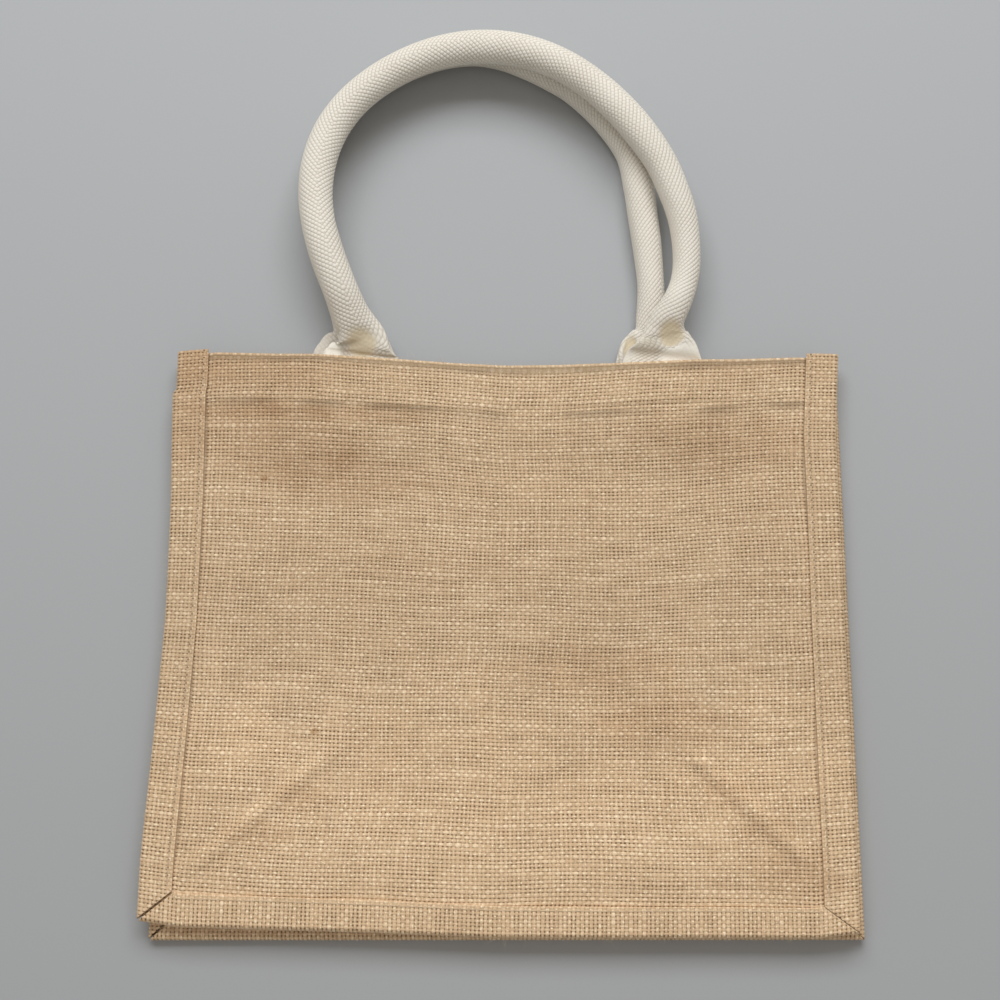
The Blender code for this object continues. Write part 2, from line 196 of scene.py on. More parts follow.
BACK_HANDLE = (
    (-69.0, 222.0, BACK_FOOT, WEBBING_WIDTH, WEBBING),
    (-69.0, 232.0, BACK_FOOT, WEBBING_WIDTH, WEBBING),
    (-69.0, 243.0, BACK_FOOT, WEBBING_WIDTH, WEBBING),
    (-71.4, 249.0, 3.7, 37.0, 3.2),
    (-71.6, 255.5, 3.9, 28.5, 4.6),
    (-71.2, 261.0, 4.1, 18.8, 6.2),
    (-72.6, 267.0, 4.3, 17.0, 7.6),
    (-76.0, 277.0, 5.6, 16.4, 10.8),
    (-84.6, 300.0, 7.2, 15.8, 14.6),
    (-90.4, 321.0, 7.3, 15.4, 15.0),
    (-91.1, 338.2, 7.3, 15.4, 15.0),
    (-88.2, 353.1, 7.3, 15.4, 15.0),
    (-81.9, 366.8, 7.3, 15.4, 15.0),
    (-72.5, 378.8, 7.3, 15.4, 15.0),
    (-60.9, 388.4, 7.3, 15.4, 15.0),
    (-47.6, 396.0, 7.3, 15.4, 15.0),
    (-33.3, 401.0, 7.3, 15.4, 15.0),
    (-18.2, 403.0, 7.3, 15.6, 15.0),
    (-4.0, 400.8, 7.3, 15.8, 15.0),
    (8.2, 396.0, 7.3, 16.0, 15.0),
    (19.6, 390.1, 7.3, 16.2, 15.0),
    (31.9, 381.9, 7.3, 16.2, 15.0),
    (46.3, 367.0, 7.3, 16.0, 15.0),
    (57.4, 349.0, 7.15, 15.2, 14.6),
    (61.0, 331.0, 6.9, 14.4, 14.0),
    (62.6, 318.0, 6.6, 14.0, 13.4),
    (64.5, 303.3, 6.4, 13.6, 13.0),
    (66.0, 287.0, 6.0, 12.5, 12.2),
    (66.4, 277.4, 5.5, 12.6, 11.0),
    (66.0, 268.0, 4.7, 12.8, 9.0),
    (65.8, 261.2, 4.2, 13.6, 7.0),
    (64.8, 257.6, 4.1, 18.0, 5.8),
    (64.2, 253.2, 3.9, 25.0, 4.4),
    (65.4, 246.8, BACK_FOOT, 33.5, WEBBING),
    (67.0, 236.0, BACK_FOOT, WEBBING_WIDTH, WEBBING),
    (67.0, 224.0, BACK_FOOT, WEBBING_WIDTH, WEBBING),
)
ROUND_FROM = 0.7  # thickness as a share of width, from which a handle's section is an ellipse

# How far round a handle the webbing's middle line is, 0.25 inside the loop and 0.5 on top: share of the
# handle's length, how far round
FRONT_TWIST = (
    (0.0, 0.5),
    (0.05, 0.5),
    (0.14, 0.45),
    (0.4, 0.47),
    (0.62, 0.56),
    (0.8, 0.68),
    (0.93, 0.66),
    (1.0, 0.5),
)
BACK_TWIST = (
    (0.0, 0.5),
    (0.05, 0.5),
    (0.3, 0.46),
    (0.6, 0.55),
    (0.8, 0.64),
    (0.93, 0.62),
    (1.0, 0.5),
)
# Hollows where a handle's padding ends and painted places on its feet: x, y, half width, half length,
# depth, and how much painted shade the place gets, below 0 how much painted highlight
FRONT_DENTS_AND_PAINTED_LIGHT = (
    (-65.4, 252.4, 9.0, 8.2, 0.7, 0.9),
    (-79.0, 250.0, 5.0, 9.0, 0.0, -1.0),
    (74.8, 256.2, 7.6, 7.6, 0.9, 0.9),
    (80.0, 247.0, 14.0, 8.0, 0.0, -1.0),
    (64.0, 251.0, 8.0, 7.0, 0.0, 0.25),
)
BACK_DENTS_AND_PAINTED_LIGHT = ((57.2, 252.0, 4.4, 8.4, 1.2, 1.0),)
# Where a foot's side is turned out behind its front: two ends of the fold, which side is behind, depth
FRONT_FOLDS = (((-75.4, 249.0), (-75.2, 258.6), -1.0, 2.6),)
BACK_FOLDS = ()

# The webbing: its width round the padding, how far from its middle line it is smooth on its two sides,
# where along a handle the ribs reach further on the first side and how much, and where along it single
# beads give way to whole ribs
WEBBING_ROUND = 44.0
SMOOTH_FROM = (10.0, 5.0)
SMOOTH_OVER = 5.0
SMOOTHED_AWAY = 0.75
RIBS_WIDEN = (385.0, 405.0, 8.0)
RIBS_SHOW = (200.0, 350.0)
RIB_SHARES = (0.2, 0.25)
BEAD_ROUNDNESS = 0.94

# The weave: a thread's rise and fall, the roundness of warp and weft and the highest place, as shares of its
# relief, and how far its threads wander
CRIMP = 0.34
WARP_ROUNDNESS = 0.58
WEFT_ROUNDNESS = 0.72
HIGHEST = 1.1
THREAD_SLIP = 0.15

# The edge strips: distance between their long threads, distance of the stitches from their edge, where up
# the bag the painted shade of the stitch pits shows fully, in metres of the part's own frame, and the slits
# of the left and right mitre
STRIP_PITCH = 1.75
STITCH_IN = 2.0
STITCH_SHADE_SHOWS = (-0.187, -0.185)
MITRE_SLITS = (0.9, 0.25)

# Prints of the handles' feet in the front: their middles, and where from these they start to fall and end
FOOT_PRINTS = (-66.5, 68.0)
FOOT_PRINT_SIDE = (18.6, 20.4)

# Loose fibres: their half thickness, and the rings along one and the corners, in radians, round it
FIBRE_RADIUS = 0.045
FIBRE_RINGS = 5
FIBRE_CORNERS = (0.5, 2.6, 4.7)

# Starts of the random draws
FRONT_SEED = 11
STRIP_SEEDS = (5, 6)
FIBRE_SEED = 29

# Stains and pale places on the front: across, along, half width, half height, strength (below 0 is paler).
# The widest pale place is painted light, which makes the front paler towards its bottom.
STAINS_AND_PAINTED_LIGHT = (
    (-100.0, 208.0, 42.0, 18.0, 0.4),
    (-66.0, 190.0, 40.0, 12.0, 0.4),
    (-130.0, 241.0, 60.0, 13.0, 0.45),
    (-118.0, 222.0, 34.0, 4.5, 0.4),
    (-56.0, 219.5, 34.0, 4.5, 0.4),
    (-144.0, 222.0, 10.0, 34.0, 0.2),
    (98.0, 208.0, 42.0, 15.0, 0.35),
    (112.0, 243.0, 44.0, 8.0, 0.25),
    (118.0, 176.0, 22.0, 12.0, 0.15),
    (38.0, 106.0, 38.0, 12.0, 0.3),
    (72.0, 84.0, 30.0, 14.0, 0.35),
    (126.0, 22.0, 20.0, 10.0, 0.3),
    (-30.0, 150.0, 40.0, 8.0, 0.15),
    (-104.0, 34.0, 18.0, 6.0, 0.25),
    (-86.0, 50.0, 16.0, 6.0, 0.25),
    (114.0, 40.0, 14.0, 7.0, 0.25),
    (96.0, 55.0, 14.0, 6.0, 0.2),
    (-107.5, 189.5, 1.6, 1.3, 1.0),
    (-80.0, 78.0, 1.6, 1.3, 1.0),
    # Painted light: the whole lower part of the front painted paler
    (0.0, 8.0, 400.0, 96.0, -0.8),
    (112.0, 64.0, 34.0, 14.0, -0.4),
    (-118.0, 76.0, 26.0, 26.0, -0.3),
    (20.0, 190.0, 40.0, 10.0, -0.15),
)
SEWING_THREAD = (0.74, 0.58, 0.39)
LOOSE_FIBRE = (0.8, 0.66, 0.46)

# The studio, in metres where nothing else is said
FLOOR_SIZE = 6.0
FLOOR_DROP = 0.0003
SKY_COLOUR = (1.0, 0.95, 0.88, 1.0)
LAMP_SIZE = (1.3, 0.7)
LAMP_PLACE = (0.0, 0.8, 1.05)
LAMP_COLOUR = (0.97, 0.985, 1.0)
SENSOR = 36.0  # millimetres
CAMERA_PLACE = (24.1, 41.1, 619.3)  # millimetres, in the bag's plain drawing
CAMERA_TURNS = (("X", -12.9), ("Y", -2.18), ("Z", -0.93))  # degrees


def millimetres(name, description, default, least=0.5):
    """A size that a user may change."""
    text = f"{description}, in millimetres"
    return FloatProperty(name=name, description=text, default=default, min=least)


def tint(name, description, default):
    """A colour that a user may change."""
    return FloatVectorProperty(
        name=name,
        description=description,
        subtype="COLOR",
        default=default,
        min=0.0,
        max=1.0,
    )


class JuteBagSizes(bpy.types.PropertyGroup):
    """Sizes of the threads, stitches and fibres."""

    warp_pitch: millimetres("Warp pitch", "Distance between the threads that run up the bag", 1.81)
    weft_pitch: millimetres("Weft pitch", "Distance between the threads that run across it", 1.65)
    relief: millimetres("Relief", "Height of a thread's crown over a hole", 0.45, least=0.0)
    stitch_thread: millimetres("Sewing thread", "Thickness of the sewing thread", 0.5, least=0.1)
    rib_pitch: millimetres("Rib pitch", "Distance between the slanting ribs of the webbing", 1.65)
    bead_pitch: millimetres("Bead pitch", "Distance between the beads along a rib", 1.75)
    bead_relief: millimetres("Bead relief", "Height of a bead of the webbing", 0.3, least=0.0)
    fibres: IntProperty(
        name="Loose fibres",
        description="How many short fibres stand out of the jute",
        default=1500,
        min=0,
    )


class JuteBagColours(bpy.types.PropertyGroup):
    """Colours of the jute, cotton and floor, linear."""

    jute_light: tint("Jute, light", "Colour of the palest threads", (1.0, 0.81, 0.575))
    jute: tint("Jute", "Colour of an ordinary thread", (0.66, 0.468, 0.288))
    # Painted shade at the bottom of the weave's holes
    hole_shade: tint("Hole shade", "Colour at the bottom of the holes in the weave", (0.16, 0.09, 0.038))
    stain: tint("Stain", "What the brown patches do to the colour of the cloth", (0.68, 0.58, 0.5))
    cotton: tint("Cotton", "Colour of the handles' webbing", (0.86, 0.82, 0.74))
    # Painted shade between the webbing's ribs and beads
    cotton_shade: tint("Cotton shade", "Colour between the ribs of the webbing", (0.54, 0.485, 0.4))
    # Painted shade in the hollows of the feet, warmed as by light bounced off the jute
    hollow_shade: tint("Hollow", "Colour of the dusty hollows where the handles' padding ends", (0.76, 0.66, 0.48))
    floor: tint("Floor", "Colour of the plain floor", (0.44, 0.455, 0.47))


class JuteBagStudio(bpy.types.PropertyGroup):
    """Lights and camera."""

    key_power: FloatProperty(
        name="Key light",
        description="Power of the large soft light beyond the handles, in watts",
        default=14.2,
        min=0.0,
    )
    sky: FloatProperty(
        name="Sky",
        description="Strength of the even light from all round",
        default=0.385,
        min=0.0,
    )
    lens: millimetres("Lens", "Focal length of the camera", 50.76, least=1.0)


# Plain sums on numbers and on whole arrays


def ramp(value, start, end):
    """0 before start and 1 after end, with an even curve between them."""
    part = np.clip((value - start) / (end - start), 0.0, 1.0)
    return part * part * (3.0 - 2.0 * part)


def mix(first, second, part):
    return first + (second - first) * part


def read(table, place, column):
    """A value of a table's column between two of its rows."""
    return np.interp(place, [row[0] for row in table], [row[column] for row in table])


def bump(value, half_width):
    """1 at 0, falling softly to 0 at half_width."""
    return 1.0 - ramp(np.abs(value), 0.0, half_width)


def so_far(steps):
    """Running totals, from 0."""
    return np.concatenate([[0.0], np.cumsum(steps)])


def together(*parts):
    """Arrays side by side, such as the coordinates of points."""
    return np.stack(parts, axis=-1)


def unit(vectors):
    return vectors / np.maximum(np.linalg.norm(vectors, axis=-1, keepdims=True), 1e-9)


# Where the cloth lies


def front_lie(across, along):
    left = read(SIDE_EDGES, along, 1)
    right = read(SIDE_EDGES, along, 2)
    bottom = read(END_EDGES, across, 1)
    mouth = read(END_EDGES, across, 2)
    return mix(left, right, across / WIDTH + 0.5), mix(bottom, mouth, along / HEIGHT)


def back_lie(across, along):
    return (
        across + BACK_SLIP[0] + BACK_LEAN * along,
        along + BACK_SLIP[1] + BACK_TURN * across,
    )


def from_edge(across, along):
    return np.minimum(HALF - np.abs(across), along)


def bottom_share(across):
    """The strips' width along the bottom as a share of their width up the sides."""
    return mix(*BOTTOM_SHARES, across / WIDTH + 0.5)


def past_strips(across, along):
    """Distance inwards of the edge strips."""
    return np.minimum(HALF - np.abs(across) - STRIP, along - STRIP * bottom_share(across))


def over_crease(across, along, crease):
    """How much one crease lifts the cloth."""
    start, end, height, half_width = crease
    run = np.subtract(end, start)
    x = across - start[0]
    y = along - start[1]
    part = np.clip((x * run[0] + y * run[1]) / run.dot(run), 0.0, 1.0)
    away = np.hypot(x - run[0] * part, y - run[1] * part)
    fade = ramp(part, 0.0, 0.2) * (1.0 - ramp(part, 0.8, 1.0))
    return height * fade * bump(away, half_width)


def front_height(across, along):
    """Height of the middle of the front panel."""
    inwards = from_edge(across, along)
    sunk = mix(FRONT_PANEL, FRONT_ON_FOLD, ramp(inwards, STRIP, GUSSET_HALF))
    sunk = mix(sunk, FRONT_MIDDLE, ramp(inwards, GUSSET_HALF, GUSSET_HALF + SINKS_OVER))
    sunk = sunk + sum(over_crease(across, along, crease) for crease in CREASES)
    sunk = sunk + front_waves(across, along) * ramp(inwards, STRIP, STRIP + 12.0)
    high = mix(sunk, read(MOUTH_HEIGHTS, np.abs(across), 1), ramp(along, *MOUTH_RISES))
    return high + mouth_marks(across, along)


def front_waves(across, along):
    """The slow unevenness of the front, upwards only."""
    slow = np.sin(across / 31.0 + 0.7) * np.sin(along / 27.0 + 1.9)
    slower = np.sin(across / 57.0 - along / 44.0)
    return 0.22 * (1.0 + slow) + 0.15 * (1.0 + slower)


def mouth_marks(across, along):
    """The groove under the hem and the flat prints of the handles' feet in it."""
    hem_line = HEIGHT - HEM - 1.0 + 1.2 * np.sin(across / 40.0)
    groove = -0.35 * bump(along - hem_line, 2.6) * (0.3 + 0.7 * np.sin(across / 26.0 + 2.2) ** 2)
    groove = groove + 0.25 * ramp(along, hem_line, hem_line + 3.0)
    inside = ramp(np.abs(across), HALF - STRIP - 3.0, HALF - STRIP)
    prints = 0.0
    for middle in FOOT_PRINTS:
        side = 1.0 - ramp(np.abs(across - middle), *FOOT_PRINT_SIDE)
        prints = prints + 0.3 * side * ramp(along, HEIGHT - HEM + 0.5, HEIGHT - HEM + 3.0)
    return (groove + prints) * (1.0 - inside)


def back_height(across, along):
    inwards = from_edge(across, along)
    return mix(BACK_PANEL, BACK_RESTING, ramp(inwards, STRIP, BENDS[2]))


def under_hem(across, along):
    inwards = HALF - np.abs(across)
    return ramp(inwards, BENDS[0], BENDS[1]) * ramp(along, *MOUTH_RISES)


def front_leaf_height(across, along):
    inwards = from_edge(across, along)
    plain = mix(FRONT_LEAF, BACK_LEAF + LAYER, ramp(inwards, STRIP, GUSSET_HALF))
    return mix(plain, FRONT_LEAF_AT_MOUTH, under_hem(across, along))


def back_leaf_height(across, along):
    return mix(BACK_LEAF, BACK_LEAF_AT_MOUTH, under_hem(across, along))


# Threads


def crowns(u, v, relief):
    """Height of plain weave over its holes. u and v number the warp and weft threads."""
    warp = np.round(u)
    weft = np.round(v)
    warp_side = np.sqrt(np.clip(1.0 - (2.0 * (u - warp)) ** 2, 0.0, 1.0))
    weft_side = np.sqrt(np.clip(1.0 - (2.0 * (v - weft)) ** 2, 0.0, 1.0))
    over = np.cos(math.pi * (v + warp)) * (warp_side > 0)
    under = -np.cos(math.pi * (u + weft)) * (weft_side > 0)
    top = np.maximum(CRIMP * over + WARP_ROUNDNESS * warp_side, CRIMP * under + WEFT_ROUNDNESS * weft_side)
    return relief * np.clip(top, 0.0, HIGHEST)


def wander(numbers, places, amount, rng):
    """Sideways places of whole threads: a fixed error for each, and a slow drift along it."""
    count = int(numbers.max() - numbers.min()) + 3
    first = int(numbers.min()) - 1
    fixed = rng.normal(0.0, amount * 0.6, count)
    drift = np.zeros((count, len(places)))
    for length in (130.0, 61.0, 27.0):
        phase = rng.uniform(0.0, 2.0 * math.pi, (count, 1))
        size = rng.normal(0.0, amount * 0.45, (count, 1))
        drift += size * np.sin(2.0 * math.pi * places[None, :] / length + phase)
    whole = fixed[:, None] + drift
    at = numbers - first
    low = np.floor(at).astype(int)
    part = (at - low)[:, None]
    return whole[low] * (1.0 - part) + whole[np.minimum(low + 1, count - 1)] * part


# Meshes


def row_frame(x, y, z):
    """Points in the part's own frame, in metres."""
    return together((x - MIDDLE_OF_OUTLINE[0]) * MM, (y - MIDDLE_OF_OUTLINE[1]) * MM, z * MM)


def new_object(name, points, faces, uv=None, tightness_and_painted_light=None):
    mesh = bpy.data.meshes.new(name)
    mesh.from_pydata(points.tolist(), [], faces)
    if uv is not None:
        layer = mesh.uv_layers.new(name="Threads")
        corner = np.zeros(len(mesh.loops), dtype=np.int32)
        mesh.loops.foreach_get("vertex_index", corner)
        layer.data.foreach_set("uv", uv[corner].astype(np.float32).ravel())
    if tightness_and_painted_light is not None:
        attribute = mesh.attributes.new("tightness_and_painted_light", "FLOAT", "POINT")
        attribute.data.foreach_set("value", tightness_and_painted_light.astype(np.float32))
    mesh.shade_smooth()
    made = bpy.data.objects.new(name, mesh)
    bpy.context.scene.collection.objects.link(made)
    return made


def grid_faces(kept):
    """Quads between the kept points of a grid, and each point's number."""
    number = np.full(kept.shape, -1)
    number[kept] = np.arange(kept.sum())
    a, b = number[:-1, :-1], number[:-1, 1:]
    c, d = number[1:, 1:], number[1:, :-1]
    whole = (a >= 0) & (b >= 0) & (c >= 0) & (d >= 0)
    return together(a[whole], b[whole], c[whole], d[whole])


def border(quads, start):
    """The points round the quads' edge, in the quads' own direction, from start on."""
    ends = np.concatenate([quads[:, [i, (i + 1) % 4]] for i in range(4)])
    key = np.sort(ends, axis=1)
    _, back, count = np.unique(key, axis=0, return_inverse=True, return_counts=True)
    after = dict(ends[count[back.reshape(-1)] == 1].tolist())
    loop = [start]
    while after[loop[-1]] != start:
        loop.append(after[loop[-1]])
    return loop


def along_border(loop, plan):
    """How far round the border each of its points is, from 0 to 1, by the plain drawing of the cloth."""
    spots = plan[loop]
    steps = np.linalg.norm(np.roll(spots, -1, axis=0) - spots, axis=1)
    return so_far(steps) / steps.sum()


def zipped(outer, outer_at, inner, inner_at):
    """Triangles that join two borders of different counts."""
    faces = []
    i = j = 0
    outer = [*outer, outer[0]]
    inner = [*inner, inner[0]]
    while i < len(outer) - 1 or j < len(inner) - 1:
        if j == len(inner) - 1 or (i < len(outer) - 1 and outer_at[i + 1] <= inner_at[j + 1]):
            faces.append([outer[i + 1], outer[i], inner[j]])
            i += 1
        else:
            faces.append([inner[j], inner[j + 1], outer[i]])
            j += 1
    return faces


def copies(faces, count, total):
    """The faces of a small piece of count points again for each such piece, up to total points."""
    return [[i + at for i in face] for at in range(0, total, count) for face in faces]


def shell(name, show, hidden):
    """A closed sheet from its two sides, in the plain drawing's millimetres."""
    sides = []
    for side in (show, hidden):
        kept = side["kept"]
        plan = together(*(part[kept] for part in side["plan"]))
        quads = grid_faces(kept)
        loop = border(quads, int(np.argmin(plan.sum(axis=1))))
        points = together(*(part[kept] for part in side["points"]))
        sides.append((points, quads, loop, along_border(loop, plan)))
    (top, top_quads, top_loop, top_at), (low, low_quads, low_loop, low_at) = sides
    count = len(top)
    faces = [*top_quads.tolist(), *(low_quads[:, ::-1] + count).tolist()]
    faces += zipped(top_loop, top_at, [i + count for i in low_loop], low_at)
    uv = [together(*(part[side["kept"]] for part in side["threads"])) for side in (show, hidden)]
    tightness_and_painted_light = [side["tightness_and_painted_light"][side["kept"]] for side in (show, hidden)]
    return new_object(name, np.concatenate([top, low]), faces, np.concatenate(uv), np.concatenate(tightness_and_painted_light))


def as_drawn(across, along):
    """Where a piece lies that is drawn in its place already."""
    return across, along


def lay(made, lie=as_drawn):
    """Moves a piece from the plain drawing to where it lies, in the part's own frame, its faces outwards."""
    mesh = made.data
    spots = np.zeros(len(mesh.vertices) * 3, dtype=np.float32)
    mesh.vertices.foreach_get("co", spots)
    across, along, z = spots.reshape(-1, 3).astype(float).T
    x, y = lie(across, along)
    spots = row_frame(x, y, np.maximum(z, 0.02))
    mesh.vertices.foreach_set("co", spots.astype(np.float32).ravel())
    work = bmesh.new()
    work.from_mesh(mesh)
    bmesh.ops.recalc_face_normals(work, faces=work.faces)
    work.to_mesh(mesh)
    work.free()
    mesh.update()
    return made


def outwards(surface, a, b, step=0.05):
    """Unit normals of a surface given as a function of two arrays."""
    along_a = np.stack(surface(a + step, b)) - np.stack(surface(a - step, b))
    along_b = np.stack(surface(a, b + step)) - np.stack(surface(a, b - step))
    normal = np.cross(along_a, along_b, axis=0)
    return normal / np.maximum(np.linalg.norm(normal, axis=0), 1e-9)


# Finishes


class Wire:
    """An output of a material's node, so that what it is used for reads as plain sums."""

    def __init__(self, finish, socket):
        self.finish = finish
        self.socket = socket

    def sum(self, operation, *others):
        return self.finish.node("ShaderNodeMath", {"operation": operation}, dict(enumerate((self, *others))))

    def __add__(self, other):
        return self.sum("ADD", other)

    def __sub__(self, other):
        return self.sum("SUBTRACT", other)

    def __rsub__(self, other):
        return self.finish.node("ShaderNodeMath", {"operation": "SUBTRACT"}, {0: other, 1: self})

    def __mul__(self, other):
        return self.sum("MULTIPLY", other)

    def __truediv__(self, other):
        return self.sum("DIVIDE", other)

    __radd__ = __add__
    __rmul__ = __mul__

    def squared(self):
        return self * self

    def whole(self):
        return self.sum("ROUND")

    def size(self):
        return self.sum("ABSOLUTE")

    def cosine(self):
        return self.sum("COSINE")

    def root(self):
        return self.sum("SQRT")

    def most(self, other):
        return self.sum("MAXIMUM", other)

    def least(self, other):
        return self.sum("MINIMUM", other)

    def held(self):
        """Kept between 0 and 1."""
        return self.most(0.0).least(1.0)

    def between(self, low, high):
        """0 at low and 1 at high, with an even curve between them."""
        return self.finish.node(
            "ShaderNodeMapRange",
            {"interpolation_type": "SMOOTHSTEP"},
            {"Value": self, "From Min": low, "From Max": high},
        )


class Finish:
    """A material in the making."""

    def __init__(self, name):
        self.material = bpy.data.materials.new(name)
        self.material.use_nodes = True
        self.tree = self.material.node_tree
        self.tree.nodes.clear()

    def node(self, kind, settings=(), inputs=(), output=0):
        made = self.tree.nodes.new(kind)
        for name, value in dict(settings).items():
            setattr(made, name, value)
        for name, value in dict(inputs).items():
            if isinstance(value, Wire):
                self.tree.links.new(value.socket, made.inputs[name])
            else:
                made.inputs[name].default_value = value
        return Wire(self, made.outputs[output]) if made.outputs else None

    def split(self, vector):
        """The first two numbers of a vector."""
        first = self.node("ShaderNodeSeparateXYZ", (), {0: vector})
        return first, Wire(self, first.socket.node.outputs[1])

    def threads(self):
        """Where a point is on the piece's own UV map, in threads for jute and in millimetres for webbing."""
        return self.split(self.node("ShaderNodeUVMap", {"uv_map": "Threads"}))

    def place(self):
        """Where a point lies in the part's own frame, in metres."""
        return self.split(self.node("ShaderNodeTexCoord", (), (), output=3))

    def tightness_and_painted_light(self):
        """The piece's own mark: how tightly the jute is woven, and on the webbing painted shade above 0 and
        painted highlight below 0.
        """
        return self.node("ShaderNodeAttribute", {"attribute_name": "tightness_and_painted_light"}, output=2)

    def join(self, x, y, z=0.0):
        return self.node("ShaderNodeCombineXYZ", (), {0: x, 1: y, 2: z})

    def noise(self, x, y, scale=1.0, detail=2.0):
        """Smooth noise about 0, from -1 to 1 at most."""
        settings = {"noise_dimensions": "2D"}
        inputs = {"Vector": self.join(x, y), "Scale": scale, "Detail": detail, "Roughness": 0.55}
        return (self.node("ShaderNodeTexNoise", settings, inputs) - 0.5) * 2.0

    def chance(self, number):
        """A number of its own for each whole number, about 0, from -0.5 to 0.5."""
        return self.node("ShaderNodeTexWhiteNoise", {"noise_dimensions": "1D"}, {"W": number}) - 0.5

    def blend(self, first, second, part, how="MIX"):
        """One colour into another."""
        colours = {6: first, 7: second}
        for place, colour in colours.items():
            if not isinstance(colour, Wire):
                colours[place] = (*colour, 1.0)
        settings = {"data_type": "RGBA", "blend_type": how}
        return self.node("ShaderNodeMix", settings, {0: part, **colours}, output=2)

    def done(self, colour, roughness, height, distance, sheen=0.0, sheen_tint=(1.0, 1.0, 1.0)):
        normal = self.node("ShaderNodeBump", (), {"Height": height, "Distance": distance, "Strength": 1.0})
        inputs = {
            "Base Color": colour,
            "Roughness": roughness,
            "Normal": normal,
            "Specular IOR Level": 0.25,
            "Sheen Weight": sheen,
            "Sheen Roughness": 0.5,
            "Sheen Tint": (*sheen_tint, 1.0),
        }
        shader = self.node("ShaderNodeBsdfPrincipled", (), inputs)
        self.node("ShaderNodeOutputMaterial", (), {"Surface": shader})
        return self.material


def jute_finish(name, blotched=False, seam_shaded=False, stitch_shaded=False):
    """Plain-woven jute, thread by thread, in the numbers of its own threads."""
    colours = bpy.context.scene.jute_bag_colours
    finish = Finish(name)
    u, v = finish.threads()
    tightness_and_painted_light = finish.tightness_and_painted_light()
    warp = u.whole()
    weft = v.whole()

    warp_swell = finish.noise(warp * 0.731 + 11.3, v * 0.11)
    weft_swell = finish.noise(u * 0.09, weft * 0.677 + 5.1)
    warp_half = 0.35 + warp_swell * 0.17 + tightness_and_painted_light * 0.12
    weft_half = 0.445 + weft_swell * 0.22 + tightness_and_painted_light * 0.1
    warp_side = (1.0 - ((u - warp) / warp_half).squared()).most(0.0).root()
    weft_side = (1.0 - ((v - weft) / weft_half).squared()).most(0.0).root()
    over = ((v + warp) * math.pi).cosine()
    under = ((u + weft) * math.pi).cosine() * -1.0
    warp_high = over * 0.34 + warp_side * 0.6
    weft_high = under * 0.3 + weft_side * 0.82
    weft_shows = ((weft_high - warp_high) * 6.0 + 0.5).held()
    high = warp_high.most(weft_high)
    solid = warp_side.most(weft_side).between(0.0, 0.8)

    warp_fibres = finish.noise(u * 5.0, v * 0.9, detail=3.0)
    weft_fibres = finish.noise(u * 0.9, v * 5.0 + 7.7, detail=3.0)
    fibres = warp_fibres + (weft_fibres - warp_fibres) * weft_shows
    warp_tone = finish.noise(warp * 0.83 + 3.3, v * 0.06) * 0.7 + finish.chance(warp) * 0.2
    weft_tone = finish.noise(u * 0.05, weft * 0.91 + 8.8) * 1.1 + finish.chance(weft + 500.0) * 0.3
    tone = warp_tone + (weft_tone - warp_tone) * weft_shows
    spot = finish.chance(warp * 7.13 + weft * 31.7)
    glint = finish.noise(u * 1.7 + 31.0, v * 2.1, detail=1.0).between(0.18, 0.42) * high.between(0.6, 1.0)
    cloudy = finish.noise(u * 0.03, v * 0.03, detail=3.0)

    # Painted light: a thread is painted lighter on its crown and darker on its sides, mixed with its own
    # tone, fibres and spots.
    lit = high * 0.55 + tone * 0.34 + fibres * 0.42 + spot * 0.16 + cloudy * 0.12
    thread = finish.blend(colours.jute, colours.jute_light, lit.between(0.35, 1.1))
    # Painted shade: brown darkens the threads' sides, along with their own darker tone, and also the stitch
    # pits and the seams.
    brown = tuple(part * 0.52 for part in colours.jute)
    thread = finish.blend(brown, thread, lit.between(-0.2, 0.42))
    thread = finish.blend(thread, (1.0, 0.88, 0.66), glint * 0.9)
    # Painted shade in the holes of the weave, less where the jute is woven tightly.
    cloth = finish.blend(colours.hole_shade, thread, (solid + tightness_and_painted_light * 0.35).held())
    # Painted shade in the pits where the stitches sink into the strip.
    if stitch_shaded:
        cloth = finish.blend(cloth, brown, stitch_pit_shade(finish, u, v))
    # Painted shade under the mouth's rim and hem and beside the edge strips.
    if seam_shaded:
        cloth = finish.blend(cloth, tuple(part * 0.8 for part in brown), painted_seam_shade(finish, u, v))
    # Stains, paler patches, and painted light that makes the front paler towards its bottom.
    if blotched:
        cloth = stains_and_painted_light(finish, cloth, colours)
    height = high + fibres * 0.16
    return finish.done(cloth, 0.92, height, 0.34 * MM, sheen=0.12, sheen_tint=(1.0, 0.9, 0.75))


def stitch_pit_shade(finish, u, v):
    """Painted shade where the stitches sink into the edge strip, less along the bottom than up the sides."""
    off_line = (u - STITCH_IN / STRIP_PITCH) * 2.6
    off_stitch = (v * 0.5 - (v * 0.5).whole()) * 6.0
    sunk = (off_line.squared() + off_stitch.squared()).between(1.0, 0.3)
    _, y = finish.place()
    return sunk * (y.between(*STITCH_SHADE_SHOWS) * 0.65 + 0.35)


